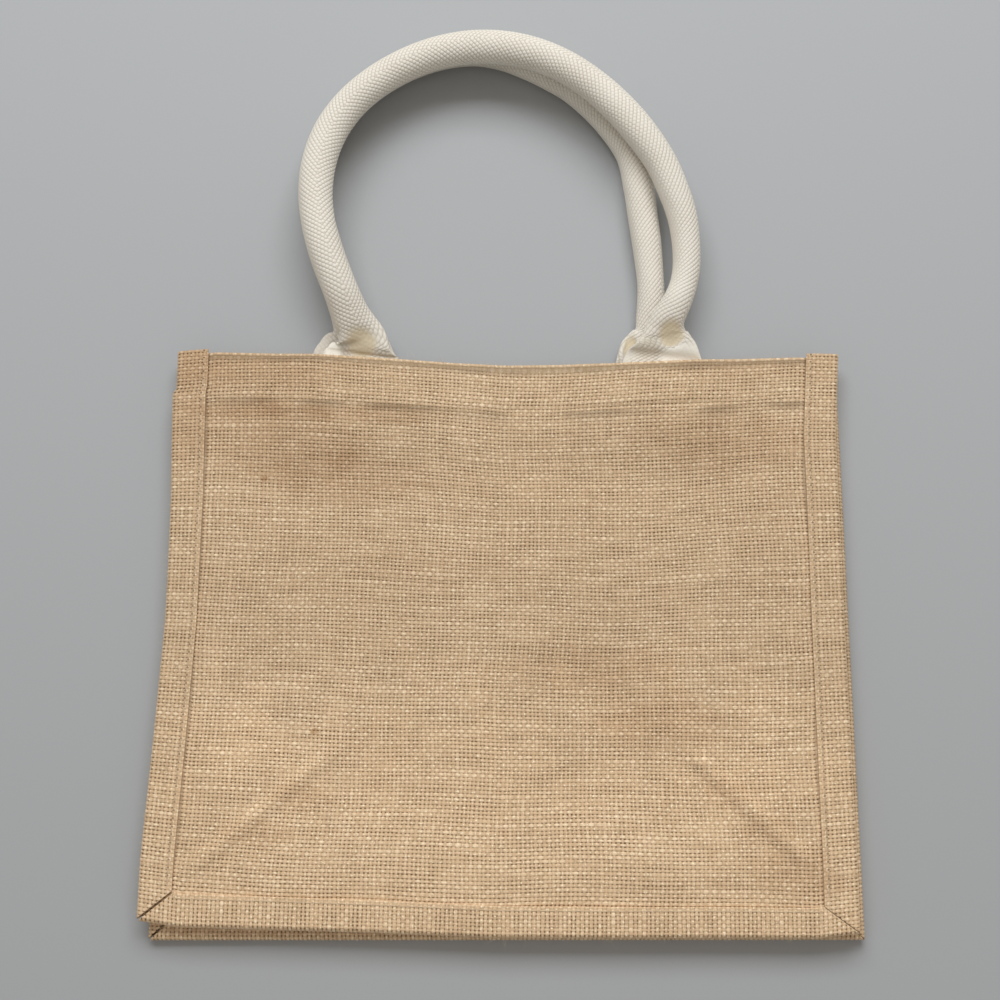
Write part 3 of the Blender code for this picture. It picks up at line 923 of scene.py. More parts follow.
def painted_seam_shade(finish, u, v):
    """Shade under the rim of the mouth, under its hem and beside the edge strips."""
    sizes = bpy.context.scene.jute_bag_sizes
    mouth = (HEIGHT - CLOTH / 2 - FOLD_RADIUS) / sizes.weft_pitch
    hem = (HEIGHT - HEM - 1.0) / sizes.weft_pitch
    beside = (HALF - STRIP) / sizes.warp_pitch
    ragged = v + finish.noise(u * 0.05, 3.0) * 1.2
    under_rim = ragged.between(mouth - 2.8, mouth - 0.8) * v.between(mouth + 0.2, mouth - 0.5)
    under_hem_line = ragged.between(hem - 3.6, hem - 0.4) * ragged.between(hem + 0.6, hem - 0.2)
    by_strip = u.size().between(beside - 0.5, beside - 0.1)
    patchy = finish.noise(u * 0.06 + 9.0, 1.0, detail=1.0).between(-0.5, 0.3)
    return (under_rim * 0.6 + under_hem_line * patchy * 0.5 + by_strip * 0.5).held()


def stains_and_painted_light(finish, cloth, colours):
    """The soft brown patches and pale places of the bag's front; the widest pale place is painted light."""
    x, y = finish.place()
    ragged = finish.noise(x * 1000.0, y * 1000.0, scale=0.05, detail=4.0)
    dark = 0.0
    pale = 0.0
    for across, along, half_width, half_height, strength in STAINS_AND_PAINTED_LIGHT:
        at_x = (across - MIDDLE_OF_OUTLINE[0]) * MM
        at_y = (along - MIDDLE_OF_OUTLINE[1]) * MM
        off_x = (x - at_x) / (half_width * MM)
        off_y = (y - at_y) / (half_height * MM)
        near = (off_x * off_x + off_y * off_y + ragged * 0.9).between(1.6, 0.0) * abs(strength)
        if strength > 0:
            dark = near + dark
        else:
            pale = near + pale
    blotched = finish.blend(cloth, colours.stain, dark.held(), "MULTIPLY")
    return finish.blend(blotched, (1.22, 1.21, 1.2), pale.held(), "MULTIPLY")


def herringbone(u, v, size, whole, root, between):
    """Height of the webbing's ribs and beads, from 0 to 1, and how smooth it is, in numbers or in nodes.

    size, whole, root and between are the sums to use, of arrays or of a material's wires.
    """
    sizes = bpy.context.scene.jute_bag_sizes
    slant = math.sqrt(2.0)
    t = (v - size(u)) / (slant * sizes.rib_pitch)
    rib = whole(t)
    off_rib = (t - rib) * 2.0
    side = root(1.0 - off_rib * off_rib * BEAD_ROUNDNESS)
    s = (v + size(u)) / (slant * sizes.bead_pitch) + rib * 0.5
    off_bead = (s - whole(s)) * 2.0
    bead = root(1.0 - off_bead * off_bead * BEAD_ROUNDNESS)
    inner, outer = SMOOTH_FROM
    start, end, wider = RIBS_WIDEN
    inner_side = u * -1.0 - between(v, start, end) * wider
    smoothed = between(inner_side, inner, inner + SMOOTH_OVER) + between(u, outer, outer + SMOOTH_OVER)
    ribbed = between(v, *RIBS_SHOW) * RIB_SHARES[1] + RIB_SHARES[0]
    return side * (bead * (1.0 - ribbed) + ribbed), smoothed


def webbing_finish(name):
    """Herringbone cotton webbing, in millimetres from its middle and along it."""
    colours = bpy.context.scene.jute_bag_colours
    finish = Finish(name)
    u, v = finish.threads()
    tightness_and_painted_light = finish.tightness_and_painted_light()
    high, smoothed = herringbone(u, v, Wire.size, Wire.whole, Wire.root, Wire.between)
    flat = (smoothed * SMOOTHED_AWAY + tightness_and_painted_light.size() * 0.85).held()
    high = high * (1.0 - flat)
    fibres = finish.noise(u * 3.0, v * 3.0, detail=3.0)
    lengthwise = finish.noise(u * 1.6, v * 0.15)
    cloudy = finish.noise(u * 0.05, v * 0.05, detail=3.0)
    # Painted light: bead and rib tops lighter than the painted shade between them, and smooth places painted
    # lighter; the noise is the cotton's own uneven tone.
    lit = high * 0.8 + fibres * 0.16 + cloudy * 0.15 + lengthwise * 0.1 + flat * 0.5
    colour = finish.blend(colours.cotton_shade, colours.cotton, lit.between(-0.1, 0.8))
    # Painted shade in the hollows where the padding ends, warm as if lit by light bounced off the jute.
    colour = finish.blend(colour, colours.hollow_shade, ((tightness_and_painted_light + fibres * 0.3) * 1.2).held())
    # Painted highlight: near-white places on the feet, paler than the cotton.
    painted_highlight = tuple(min(part * 1.18, 1.0) for part in colours.cotton)
    colour = finish.blend(colour, painted_highlight, (tightness_and_painted_light * -1.3).held())
    height = high + fibres * 0.12 + lengthwise * 0.1
    return finish.done(colour, 0.9, height, 0.3 * MM, sheen=0.2, sheen_tint=(1.0, 0.97, 0.9))


def plain_finish(name, colour):
    """Twisted thread or fibre."""
    finish = Finish(name)
    x, y = finish.place()
    uneven = finish.noise(x * 1000.0, y * 1000.0, scale=0.4)
    dark = tuple(part * 0.7 for part in colour)
    mixed = finish.blend(dark, colour, uneven.between(-0.6, 0.4))
    return finish.done(mixed, 0.9, uneven, 0.1 * MM)


def settle(made, slot, *nodes):
    """Fixes a piece to its body and takes out the solids that it stands for."""
    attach(made, BODY)
    if nodes:
        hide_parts(*nodes)


def set_material(made, material):
    made.data.materials.clear()
    made.data.materials.append(material)


def panel_side(surface, lines, columns, offset, fold_start, rng=None):
    """One side of a panel: a grid over its plan, lifted off the cloth's middle by offset.

    With rng it is lifted by its threads too, and they wander.
    """
    sizes = bpy.context.scene.jute_bag_sizes
    across, along = np.meshgrid(columns, lines)
    plan = (across, along)
    kept = (np.abs(across) <= HEM_STARTS + 0.01) | (along <= fold_start + math.pi * FOLD_RADIUS / 2 + 0.01)
    u = across / sizes.warp_pitch
    v = along / sizes.weft_pitch
    tightness_and_painted_light = ramp(along, fold_start - 2.8, fold_start - 1.4)
    tightness_and_painted_light = tightness_and_painted_light * (1.0 - ramp(along, fold_start + 2.0, fold_start + 4.0))
    lift = np.full_like(across, offset)
    if rng:
        inside = ramp(past_strips(*plan), -3.0, 1.0)
        inside = inside * (1.0 - ramp(along, fold_start + 1.0, fold_start + 2.5))
        still = 1.0 - ramp(along, fold_start - 2.5, fold_start - 0.5)
        drift_across = 0.5 * np.sin(along / 21.0 + across / 90.0) + 0.35 * np.sin(along / 9.0 - across / 37.0)
        drift_along = 0.7 * np.sin(across / 33.0 + along / 60.0) + 0.3 * np.sin(across / 13.0 - along / 25.0)
        across = across + (wander(u[0], lines, THREAD_SLIP, rng).T + drift_across) * inside
        along = along + (wander(v[:, 0], columns, THREAD_SLIP, rng) + drift_along) * inside * still
        high = crowns(u, v, sizes.relief) * (1.0 - 0.6 * tightness_and_painted_light) - sizes.relief * 0.55
        lift = lift + high * np.sign(offset) * inside
    points = np.stack(surface(across, along)) + outwards(surface, across, along) * lift
    return {"points": points, "plan": plan, "kept": kept, "threads": (u, v), "tightness_and_painted_light": tightness_and_painted_light}


def panel_surface(height, inner):
    """A panel with its mouth hem as a function of its plan, in which the hem runs on past the mouth."""
    fold_start = HEIGHT - CLOTH / 2 - FOLD_RADIUS
    fold_length = math.pi * FOLD_RADIUS

    def surface(across, plan_along):
        turn = np.clip((plan_along - fold_start) / FOLD_RADIUS, 0.0, math.pi)
        past = np.maximum(plan_along - fold_start - fold_length, 0.0)
        flat = np.minimum(plan_along, fold_start)
        along = flat + FOLD_RADIUS * np.sin(turn) - past
        at = np.where(turn > 0.0, np.where(past > 0.0, along, HEIGHT), along)
        z = height(across, at) + inner * FOLD_RADIUS * (1.0 - np.cos(turn))
        return across, along, z

    return surface, fold_start, fold_start + fold_length + HEM - HEIGHT + fold_start


def thread_lines(start, end, pitch):
    """Places half a thread apart, on whole and half threads, from start to end."""
    first = math.ceil(start / pitch * 2.0)
    last = math.floor(end / pitch * 2.0)
    return np.arange(first, last + 1) * pitch / 2.0


def make_panel(name, height, lie, inner, rng=None):
    """A panel, and with rng in full relief on the side that shows.

    inner is -1 where the hem turns down under the panel and 1 where it turns up over it.
    """
    sizes = bpy.context.scene.jute_bag_sizes
    surface, fold_start, end = panel_surface(height, inner)
    fold = np.linspace(fold_start, fold_start + math.pi * FOLD_RADIUS, 5)
    hem = np.linspace(fold[-1] + 2.0, end, 7)
    edge = HALF - PANEL_INSET
    notch = (-HEM_STARTS, HEM_STARTS)
    columns = np.unique(np.concatenate([np.linspace(-edge, edge, 61), notch]))
    lines = np.concatenate([np.linspace(PANEL_INSET, fold_start, 51), fold[1:], hem])
    hidden = panel_side(surface, lines, columns, CLOTH / 2 * inner, fold_start)
    if rng:
        columns = thread_lines(-HALF + STRIP - 1.0, HALF - STRIP + 1.0, sizes.warp_pitch)
        columns = np.unique(np.concatenate([(-edge, 8.0 - HALF, HALF - 8.0, edge), columns, notch]))
        lines = thread_lines(STRIP * min(BOTTOM_SHARES) - 1.0, fold_start - 0.4, sizes.weft_pitch)
        lines = np.concatenate([[PANEL_INSET, 7.0], lines, fold, hem])
    show = panel_side(surface, lines, columns, -CLOTH / 2 * inner, fold_start, rng)
    return lay(shell(name, show, hidden), lie)


def make_gusset():
    """The folded gusset, from its sewn edge on the front round its fold to the one on the back."""
    sizes = bpy.context.scene.jute_bag_sizes
    leaf = np.linspace(GUSSET_INSET, GUSSET_HALF - FOLD_RADIUS, 20)
    turns = np.radians([30.0, 60.0, 90.0, 120.0, 150.0])
    inwards = np.concatenate([leaf, GUSSET_HALF - FOLD_RADIUS * (1.0 - np.sin(turns)), leaf[::-1]])[:, None]
    part = np.concatenate([leaf * 0.0, (1.0 - np.cos(turns)) / 2, leaf * 0.0 + 1.0])[:, None]
    mouth = HEIGHT - 1.5
    down = np.linspace(0.0, 1.0, 60)[None, :-1]
    side = (inwards - HALF + down * 0.0, mix(mouth, inwards, down))
    over = np.linspace(-1.0, 1.0, 60)[None, :]
    bottom = (over * (HALF - inwards), inwards + over * 0.0)
    across = np.concatenate([side[0], bottom[0], -side[0][:, ::-1]], axis=1)
    along = np.concatenate([side[1], bottom[1], side[1][:, ::-1]], axis=1)
    x, y = (mix(*pair, part) for pair in zip(front_lie(across, along), back_lie(across, along)))
    z = mix(front_leaf_height(across, along), back_leaf_height(across, along), part)
    points = together(x, y, z).reshape(-1, 3)
    threads = together(across / sizes.warp_pitch, along / sizes.weft_pitch).reshape(-1, 2)
    quads = grid_faces(np.ones(z.shape, dtype=bool))
    made = new_object("gusset_cloth", points, quads.tolist(), threads, threads[:, 0] * 0.0)
    deselect()
    bpy.context.view_layer.objects.active = made
    thicken = made.modifiers.new("Thickness", "SOLIDIFY")
    thicken.thickness = CLOTH
    thicken.offset = 0.0
    bpy.ops.object.modifier_apply(modifier=thicken.name)
    return lay(made)


def strip_section(outer, inner):
    """An edge strip's section, from its edge on the bag's face: length, inwards, height of its middle."""
    turns = np.radians(np.linspace(90.0, -90.0, 61))
    inwards = CLOTH / 2 + STRIP_BULGE * (1.0 - np.cos(turns))
    height = (outer + inner) / 2 + (outer - inner) / 2 * np.sin(turns)
    inwards = np.concatenate([[STRIP], inwards, [STRIP_INSIDE]])
    height = np.concatenate([[outer], height, [inner]])
    length = so_far(np.hypot(np.diff(inwards), np.diff(height)))
    return length, inwards, height


def on_leg(leg, inwards, route):
    """A place on the left, bottom or right leg of an edge strip, in the plain drawing."""
    if leg == "bottom":
        return route, inwards * bottom_share(route)
    return (inwards - HALF if leg == "left" else HALF - inwards), route


def strip_side(leg, section, lengths, routes, pitch, facing, swell, rng=None):
    """One side of a leg. facing is 1 on the side that shows and -1 on the one that lies on the bag."""
    sizes = bpy.context.scene.jute_bag_sizes
    route, length = np.meshgrid(routes, lengths)
    plan = (route, length)
    u = length / STRIP_PITCH
    v = route / pitch
    whole, inwards, height = section
    tightness_and_painted_light = 1.0 - ramp(length, 1.4, 2.9)
    edge = np.minimum(length, whole[-1] - length)
    half = CLOTH / 2 * np.sqrt(1.0 - (1.0 - np.clip(edge / 0.8, 0.04, 1.0)) ** 2)
    lift = half * facing
    if rng:
        shown = 1.0 - ramp(length, 19.0, 21.0)
        route = route + wander(v[0], lengths, THREAD_SLIP, rng).T * shown * 0.8
        high = crowns(u, v, sizes.relief) * (1.0 - 0.75 * tightness_and_painted_light) - sizes.relief * (0.55 - 0.25 * tightness_and_painted_light)
        trough = (-0.08 if leg == "bottom" else -0.22) * bump(length - STITCH_IN, 1.3)
        lift = lift + (high + trough) * shown
    out = np.interp(length, whole, inwards)
    if leg == "left":
        out = out - read(swell, route, 1) * (1.0 - ramp(out, 2.0, 12.0))
    z = np.interp(length, whole, height)
    turn_in = np.interp(length + 0.2, whole, inwards) - np.interp(length - 0.2, whole, inwards)
    turn_up = np.interp(length + 0.2, whole, height) - np.interp(length - 0.2, whole, height)
    size = np.hypot(turn_in, turn_up) * np.sign(height[0] - height[-1])
    across, along = on_leg(leg, out + turn_up / size * lift, route)
    return {
        "points": (across, along, z - turn_in / size * lift),
        "plan": plan,
        "kept": np.ones(route.shape, dtype=bool),
        "threads": (u, v),
        "tightness_and_painted_light": tightness_and_painted_light,
    }


def cut_mitre(made, corner, keep_bottom, slit):
    """Cuts a leg along the diagonal of the corner at -1 (left) or 1 (right), and closes the cut.

    slit is the whole width that the two legs leave open between them.
    """
    work = bmesh.new()
    work.from_mesh(made.data)
    away = Vector((-corner * bottom_share(corner * HALF), -1.0, 0.0)).normalized()
    if keep_bottom:
        away = -away
    geometry = [*work.verts, *work.edges, *work.faces]
    spot = Vector((corner * HALF, 0.0, 0.0)) - away * slit / 2
    bmesh.ops.bisect_plane(work, geom=geometry, plane_co=spot, plane_no=away, clear_outer=True)
    open_edges = [edge for edge in work.edges if edge.is_boundary]
    filled = bmesh.ops.holes_fill(work, edges=open_edges)["faces"]
    bmesh.ops.triangulate(work, faces=filled)
    work.to_mesh(made.data)
    work.free()


def make_strip(name, lie, outer, inner, swell, seed):
    """An edge strip, folded over the sewn edge, its three legs mitred where they meet."""
    sizes = bpy.context.scene.jute_bag_sizes
    rng = np.random.default_rng(seed)
    section = strip_section(outer, inner)
    end = section[0][-1]
    fine = np.arange(0.0, end, STRIP_PITCH / 2)
    fine = np.concatenate([[0.0, 0.15, 0.44], fine[1:], [end]])
    fine = fine[np.concatenate([[True], np.diff(fine) > 0.1])]
    coarse = np.concatenate([[0.0, 0.3, 0.8], np.linspace(3.0, end - 3.0, 14), [end - 0.8, end]])
    legs = []
    for leg, start, stop, pitch in (
        ("left", -2.0, HEIGHT + STRIP_RISE, sizes.weft_pitch),
        ("bottom", -HALF - 2.0, HALF + 2.0, sizes.warp_pitch),
        ("right", -2.0, HEIGHT + STRIP_RISE, sizes.weft_pitch),
    ):
        routes = np.unique(np.concatenate([[start], thread_lines(start, stop - 0.2, pitch), [stop]]))
        show = strip_side(leg, section, fine, routes, pitch, 1.0, swell, rng)
        hidden = strip_side(leg, section, coarse, np.linspace(start, stop, 70), pitch, -1.0, swell)
        made = shell(name, show, hidden)
        for corner, slit in ((-1, MITRE_SLITS[0]), (1, MITRE_SLITS[1])):
            if leg in ("bottom", {-1: "left", 1: "right"}[corner]):
                cut_mitre(made, corner, leg == "bottom", slit)
        legs.append(made)
    deselect()
    for made in legs:
        made.select_set(True)
    bpy.context.view_layer.objects.active = legs[0]
    bpy.ops.object.join()
    legs[0].name = name
    return lay(legs[0], lie)


def smooth_path(table, spacing):
    """A table's rows on a smooth curve through them, evenly spaced along it, and their places on it."""
    rows = np.array(table)
    slope = (np.vstack([rows[1:], rows[-1]]) - np.vstack([rows[0], rows[:-1]])) / 2
    part = np.linspace(0.0, 1.0, 24, endpoint=False)[:, None, None]
    dense = (
        (2 * part**3 - 3 * part**2 + 1) * rows[:-1]
        + (part**3 - 2 * part**2 + part) * slope[:-1]
        + (3 * part**2 - 2 * part**3) * rows[1:]
        + (part**3 - part**2) * slope[1:]
    )
    dense = np.vstack([dense.transpose(1, 0, 2).reshape(-1, 5), rows[-1:]])
    steps = np.linalg.norm(np.diff(dense[:, :3], axis=0), axis=1)
    length = so_far(steps)
    places = np.linspace(0.0, length[-1], round(length[-1] / spacing) + 1)
    return places, np.stack([np.interp(places, length, dense[:, i]) for i in range(5)], axis=1)


def handle_section(width, thickness):
    """Points round a handle's section, from straight below: sideways, upwards, and the length so far.

    It is round where it is padded, and nearly square where it flattens into a foot.
    """
    turns = np.radians(np.linspace(-90.0, 270.0, 289))
    squareness = 1.0 - min(thickness / width / ROUND_FROM, 1.0)
    power = 2.0 / (2.0 + 8.0 * squareness**3)
    out = np.sign(np.cos(turns)) * np.abs(np.cos(turns)) ** power * width / 2
    rise = np.sign(np.sin(turns)) * np.abs(np.sin(turns)) ** power * thickness / 2
    return out, rise, so_far(np.hypot(np.diff(out), np.diff(rise)))


def sink_behind(points, raised, folds, thickness):
    """Sinks the turned-out sides of the feet behind their folds."""
    for (x, y), (end_x, end_y), hand, depth in folds:
        run_x = end_x - x
        run_y = end_y - y
        off_x = points[..., 0] - x
        off_y = points[..., 1] - y
        beyond = hand * (off_x * run_y - off_y * run_x) / math.hypot(run_x, run_y)
        part = (off_x * run_x + off_y * run_y) / (run_x**2 + run_y**2)
        sunk = ramp(beyond, 0.0, 0.8) * ramp(part, -0.4, 0.0) * (1.0 - ramp(part, 0.75, 1.05))
        points[..., 2] -= np.minimum(depth, thickness * 0.45) * sunk * ramp(raised, 0.0, 0.6)


def press_dents(points, raised, dents_and_painted_light):
    """Presses the hollows in, and gives how much painted shade each point gets, below 0 painted highlight."""
    tightness_and_painted_light = np.zeros_like(raised)
    for x, y, half_x, half_y, depth, shaded in dents_and_painted_light:
        off = np.hypot((points[..., 0] - x) / half_x, (points[..., 1] - y) / half_y)
        near = (1.0 - ramp(off, 0.4, 1.0)) * ramp(raised, 0.0, 0.7)
        points[..., 2] -= depth * near
        tightness_and_painted_light = np.where(near > np.abs(tightness_and_painted_light), near * shaded, tightness_and_painted_light)
    return tightness_and_painted_light


def make_handle(name, table, twist, dents_and_painted_light, folds, columns, spacing):
    """A handle of webbing closed round its padding, from its left foot round to its right one."""
    places, rows = smooth_path(table, spacing)
    centres = rows[:, :3]
    run = unit(np.gradient(centres, axis=0))
    side = unit(np.cross(run, (0.0, 0.0, 1.0)))
    up = np.cross(side, run)
    middle = np.interp(places / places[-1], *zip(*twist))
    numbers = np.arange(columns) / columns
    points = np.zeros((len(rows), columns, 3))
    across = np.zeros((len(rows), columns))
    raised = np.zeros((len(rows), columns))
    for i, (_, _, _, width, thickness) in enumerate(rows):
        out, rise, at = handle_section(width, thickness)
        way = (middle[i] - 0.5 + numbers) % 1.0 * at[-1]
        rise = np.interp(way, at, rise)
        points[i] = centres[i] + np.interp(way, at, out)[:, None] * side[i] + rise[:, None] * up[i]
        raised[i] = rise / (thickness / 2)
        across[i] = (numbers - 0.5) * mix(WEBBING_ROUND, at[-1], ramp(at[-1], 52.0, 66.0))
    sink_behind(points, raised, folds, rows[:, 4:])
    tightness_and_painted_light = press_dents(points, raised, dents_and_painted_light)
    around = np.roll(points, -1, axis=1) - np.roll(points, 1, axis=1)
    normal = unit(np.cross(around, np.gradient(points, axis=0)))
    normal *= np.sign(np.sum(normal * (points - centres[:, None]), axis=-1).mean())
    relief = bpy.context.scene.jute_bag_sizes.bead_relief
    high, smoothed = herringbone(across, places[:, None], np.abs, np.round, np.sqrt, ramp)
    high = (high * (1.0 - SMOOTHED_AWAY * smoothed) - 0.55) * relief * (1.0 - 0.8 * np.abs(tightness_and_painted_light))
    points = points + normal * high[..., None]
    number = np.arange(len(rows) * columns).reshape(len(rows), columns)
    after = np.roll(number, -1, axis=1)
    quads = together(number[:-1], number[1:], after[1:], after[:-1]).reshape(-1, 4)
    faces = [*quads.tolist(), number[0].tolist(), number[-1].tolist()[::-1]]
    threads = together(across, across * 0.0 + places[:, None]).reshape(-1, 2)
    return lay(new_object(name, points.reshape(-1, 3), faces, threads, tightness_and_painted_light.reshape(-1)))


def on_strip(leg, route):
    """Where the stitches of the front edge strip lie, in millimetres."""
    across, along = on_leg(leg, STRIP - STITCH_IN, route)
    x, y = front_lie(across, along)
    return together(x, y, x * 0.0 + FRONT_STRIP + CLOTH / 2 - 0.1)


def make_stitches():
    """The row of stitches along the front edge strip, one every second thread."""
    sizes = bpy.context.scene.jute_bag_sizes
    deselect()
    bpy.ops.mesh.primitive_uv_sphere_add(segments=8, ring_count=7, radius=0.5)
    model = bpy.context.active_object
    shape = np.array([spot.co for spot in model.data.vertices])[:, [2, 0, 1]]
    corners = [list(face.vertices) for face in model.data.polygons]
    bpy.data.objects.remove(model)
    points = []
    for leg, pitch, start, stop in (
        ("left", sizes.weft_pitch, STRIP - STITCH_IN + 2.0, HEIGHT),
        ("bottom", sizes.warp_pitch, STRIP - HALF, HALF - STRIP),
        ("right", sizes.weft_pitch, STRIP - STITCH_IN + 2.0, HEIGHT),
    ):
        middles = np.arange(math.ceil(start / pitch / 2), math.floor(stop / pitch / 2)) * pitch * 2 + pitch
        run = unit(on_strip(leg, middles + 1.0) - on_strip(leg, middles - 1.0))[:, None]
        side = np.cross(run, (0.0, 0.0, 1.0))
        length = shape[None, :, :1] * (pitch * 2 - 0.7) * run
        width = shape[None, :, 1:2] * sizes.stitch_thread * side
        height = shape[None, :, 2:] * sizes.stitch_thread * np.array([0.0, 0.0, 1.0])
        points.append((on_strip(leg, middles)[:, None] + length + width + height).reshape(-1, 3))
    points = np.concatenate(points)
    return lay(new_object("edge_stitching", points, copies(corners, len(shape), len(points))))


def fibre_roots(rng, count):
    """Where the loose fibres start and which way they head, every third one on the bag's outline."""
    across = rng.uniform(-HALF + 1.0, HALF - 1.0, count)
    along = rng.uniform(1.0, HEIGHT - 1.0, count)
    edge = np.arange(count) % 3 == 0
    place = rng.uniform(0.0, 1.0, count)
    leg = np.arange(count) // 3 % 4
    still = place * 0.0
    at_mouth = (place - 0.5) * 2 * HEM_STARTS
    at_bottom = (place - 0.5) * 2 * (HALF - 2.0)
    edge_across = np.choose(leg, [still - HALF + 0.6, still + HALF - 0.6, at_mouth, at_bottom])
    edge_along = np.choose(leg, [place * HEIGHT, place * HEIGHT, still + HEIGHT - 0.6, still + 0.6])
    across = np.where(edge, edge_across, across)
    along = np.where(edge, edge_along, along)
    on_edge = past_strips(across, along) < 0.0
    z = np.where(on_edge, FRONT_STRIP, front_height(across, along)) + CLOTH / 2 - 0.15
    z = np.where(edge & (leg != 2), rng.uniform(8.5, FRONT_STRIP, count), z)
    x, y = front_lie(across, along)
    heading = rng.uniform(0.0, 2.0 * math.pi, count)
    outward = np.choose(leg, [math.pi, 0.0, math.pi / 2, -math.pi / 2]) + rng.normal(0.0, 0.9, count)
    return x, y, z, np.where(edge, outward, heading), edge


def make_fibres():
    """Short loose fibres, on the front and strips and standing off the outline."""
    rng = np.random.default_rng(FIBRE_SEED)
    count = bpy.context.scene.jute_bag_sizes.fibres
    x, y, z, heading, edge = fibre_roots(rng, count)
    length = rng.gamma(3.0, 0.8, count) + 0.8
    length = np.where(edge, length * 0.75, length)
    rise = rng.uniform(0.05, 0.45, count)
    curl = rng.normal(0.0, 0.5, count)
    step = np.linspace(0.0, 1.0, FIBRE_RINGS)[None, :]
    turn = heading[:, None] + curl[:, None] * step * 1.6
    reach = length[:, None] * step
    lift = rise[:, None] * reach * (1.3 - step)
    x = x[:, None] + reach * np.cos(turn)
    y = y[:, None] + reach * np.sin(turn)
    middle = together(x, y, z[:, None] + lift)
    side = together(-np.sin(turn), np.cos(turn), turn * 0.0)
    radius = (FIBRE_RADIUS * (1.1 - 0.8 * step))[..., None]
    up = np.array([0.0, 0.0, 1.0])
    rings = [middle + radius * (side * math.cos(angle) + up * math.sin(angle)) for angle in FIBRE_CORNERS]
    points = np.stack(rings, axis=2).reshape(-1, 3)
    number = np.arange(FIBRE_RINGS * 3).reshape(FIBRE_RINGS, 3)
    after = np.roll(number, -1, axis=1)
    one = together(number[:-1], after[:-1], after[1:], number[1:]).reshape(-1, 4).tolist()
    one += [number[0].tolist()[::-1], number[-1].tolist()]
    return lay(new_object("loose_fibres", points, copies(one, number.size, len(points))))


def deselect():
    for other in bpy.context.selected_objects:
        other.select_set(False)


def lay_floor(context):
    deselect()
    bpy.ops.mesh.primitive_plane_add(size=FLOOR_SIZE, location=(0.0, 0.0, -FLOOR_DROP))
    floor = context.active_object
    floor.name = "floor"
    finish = Finish("floor")
    colour = (*context.scene.jute_bag_colours.floor, 1.0)
    inputs = {"Base Color": colour, "Roughness": 0.95, "Specular IOR Level": 0.1}
    shader = finish.node("ShaderNodeBsdfPrincipled", (), inputs)
    finish.node("ShaderNodeOutputMaterial", (), {"Surface": shader})
    set_material(floor, finish.material)


def hang_lights(context):
    """An even sky, and one large soft lamp beyond the handles."""
    studio = context.scene.jute_bag_studio
    world = bpy.data.worlds.new("sky")
    context.scene.world = world
    world.use_nodes = True
    background = world.node_tree.nodes["Background"]
    background.inputs["Color"].default_value = SKY_COLOUR
    background.inputs["Strength"].default_value = studio.sky

    key = bpy.data.lights.new("key", "AREA")
    key.shape = "RECTANGLE"
    key.size, key.size_y = LAMP_SIZE
    key.energy = studio.key_power
    key.color = LAMP_COLOUR
    lamp = bpy.data.objects.new("key", key)
    context.scene.collection.objects.link(lamp)
    lamp.location = LAMP_PLACE
    aim = Vector((0.0, 0.0, 0.0)) - lamp.location
    lamp.rotation_euler = aim.to_track_quat("-Z", "Y").to_euler()


def set_camera(context):
    """The camera where the photo was taken from, and colours shown as they are."""
    eye = bpy.data.cameras.new("camera")
    eye.sensor_width = SENSOR
    eye.lens = context.scene.jute_bag_studio.lens
    camera = bpy.data.objects.new("camera", eye)
    context.scene.collection.objects.link(camera)
    turn = Matrix.Identity(3)
    for axis, degrees in CAMERA_TURNS:
        turn = turn @ Matrix.Rotation(math.radians(degrees), 3, axis)
    place = row_frame(*CAMERA_PLACE)
    camera.matrix_world = Matrix.Translation(Vector(place)) @ turn.transposed().to_4x4()
    context.scene.camera = camera
    context.scene.view_settings.view_transform = "Standard"
    context.scene.view_settings.look = "None"


class JUTE_BAG_OT_front_panel(bpy.types.Operator):
    """Weave the front panel, with its hem, creases, stains and painted light and shade"""

    bl_idname = "jute_bag.front_panel"
    bl_label = "Front panel"

    def execute(self, context):
        rng = np.random.default_rng(FRONT_SEED)
        made = make_panel("front_panel_cloth", front_height, front_lie, -1.0, rng)
        set_material(made, jute_finish("jute_front", blotched=True, seam_shaded=True))
        settle(made, "jute", "front_panel")
        return {"FINISHED"}


class JUTE_BAG_OT_back_panel(bpy.types.Operator):
    """Lay the back panel, a little lower and turned"""

    bl_idname = "jute_bag.back_panel"
    bl_label = "Back panel"

    def execute(self, context):
        made = make_panel("back_panel_cloth", back_height, back_lie, 1.0)
        set_material(made, jute_finish("jute_back"))
        settle(made, "jute", "back_panel")
        return {"FINISHED"}


class JUTE_BAG_OT_gusset(bpy.types.Operator):
    """Fold the gusset in between the panels"""

    bl_idname = "jute_bag.gusset"
    bl_label = "Gusset"

    def execute(self, context):
        made = make_gusset()
        set_material(made, jute_finish("jute_gusset"))
        settle(made, "jute", "gusset")
        return {"FINISHED"}


class JUTE_BAG_OT_edge_strips(bpy.types.Operator):
    """Bind the sewn edges with two folded, mitred strips"""

    bl_idname = "jute_bag.edge_strips"
    bl_label = "Edge strips"

    def execute(self, context):
        material = jute_finish("jute_edge", blotched=True, stitch_shaded=True)
        for side, lie, outer, inner, swell, seed in (
            ("front", front_lie, FRONT_STRIP, FRONT_STRIP_INSIDE, LEFT_SWELL, STRIP_SEEDS[0]),
            ("back", back_lie, BACK_STRIP, BACK_STRIP_INSIDE, NO_SWELL, STRIP_SEEDS[1]),
        ):
            name = f"{side}_edge_strip"
            made = make_strip(f"{name}_cloth", lie, outer, inner, swell, seed)
            set_material(made, material)
            settle(made, "jute_edge", name)
        return {"FINISHED"}


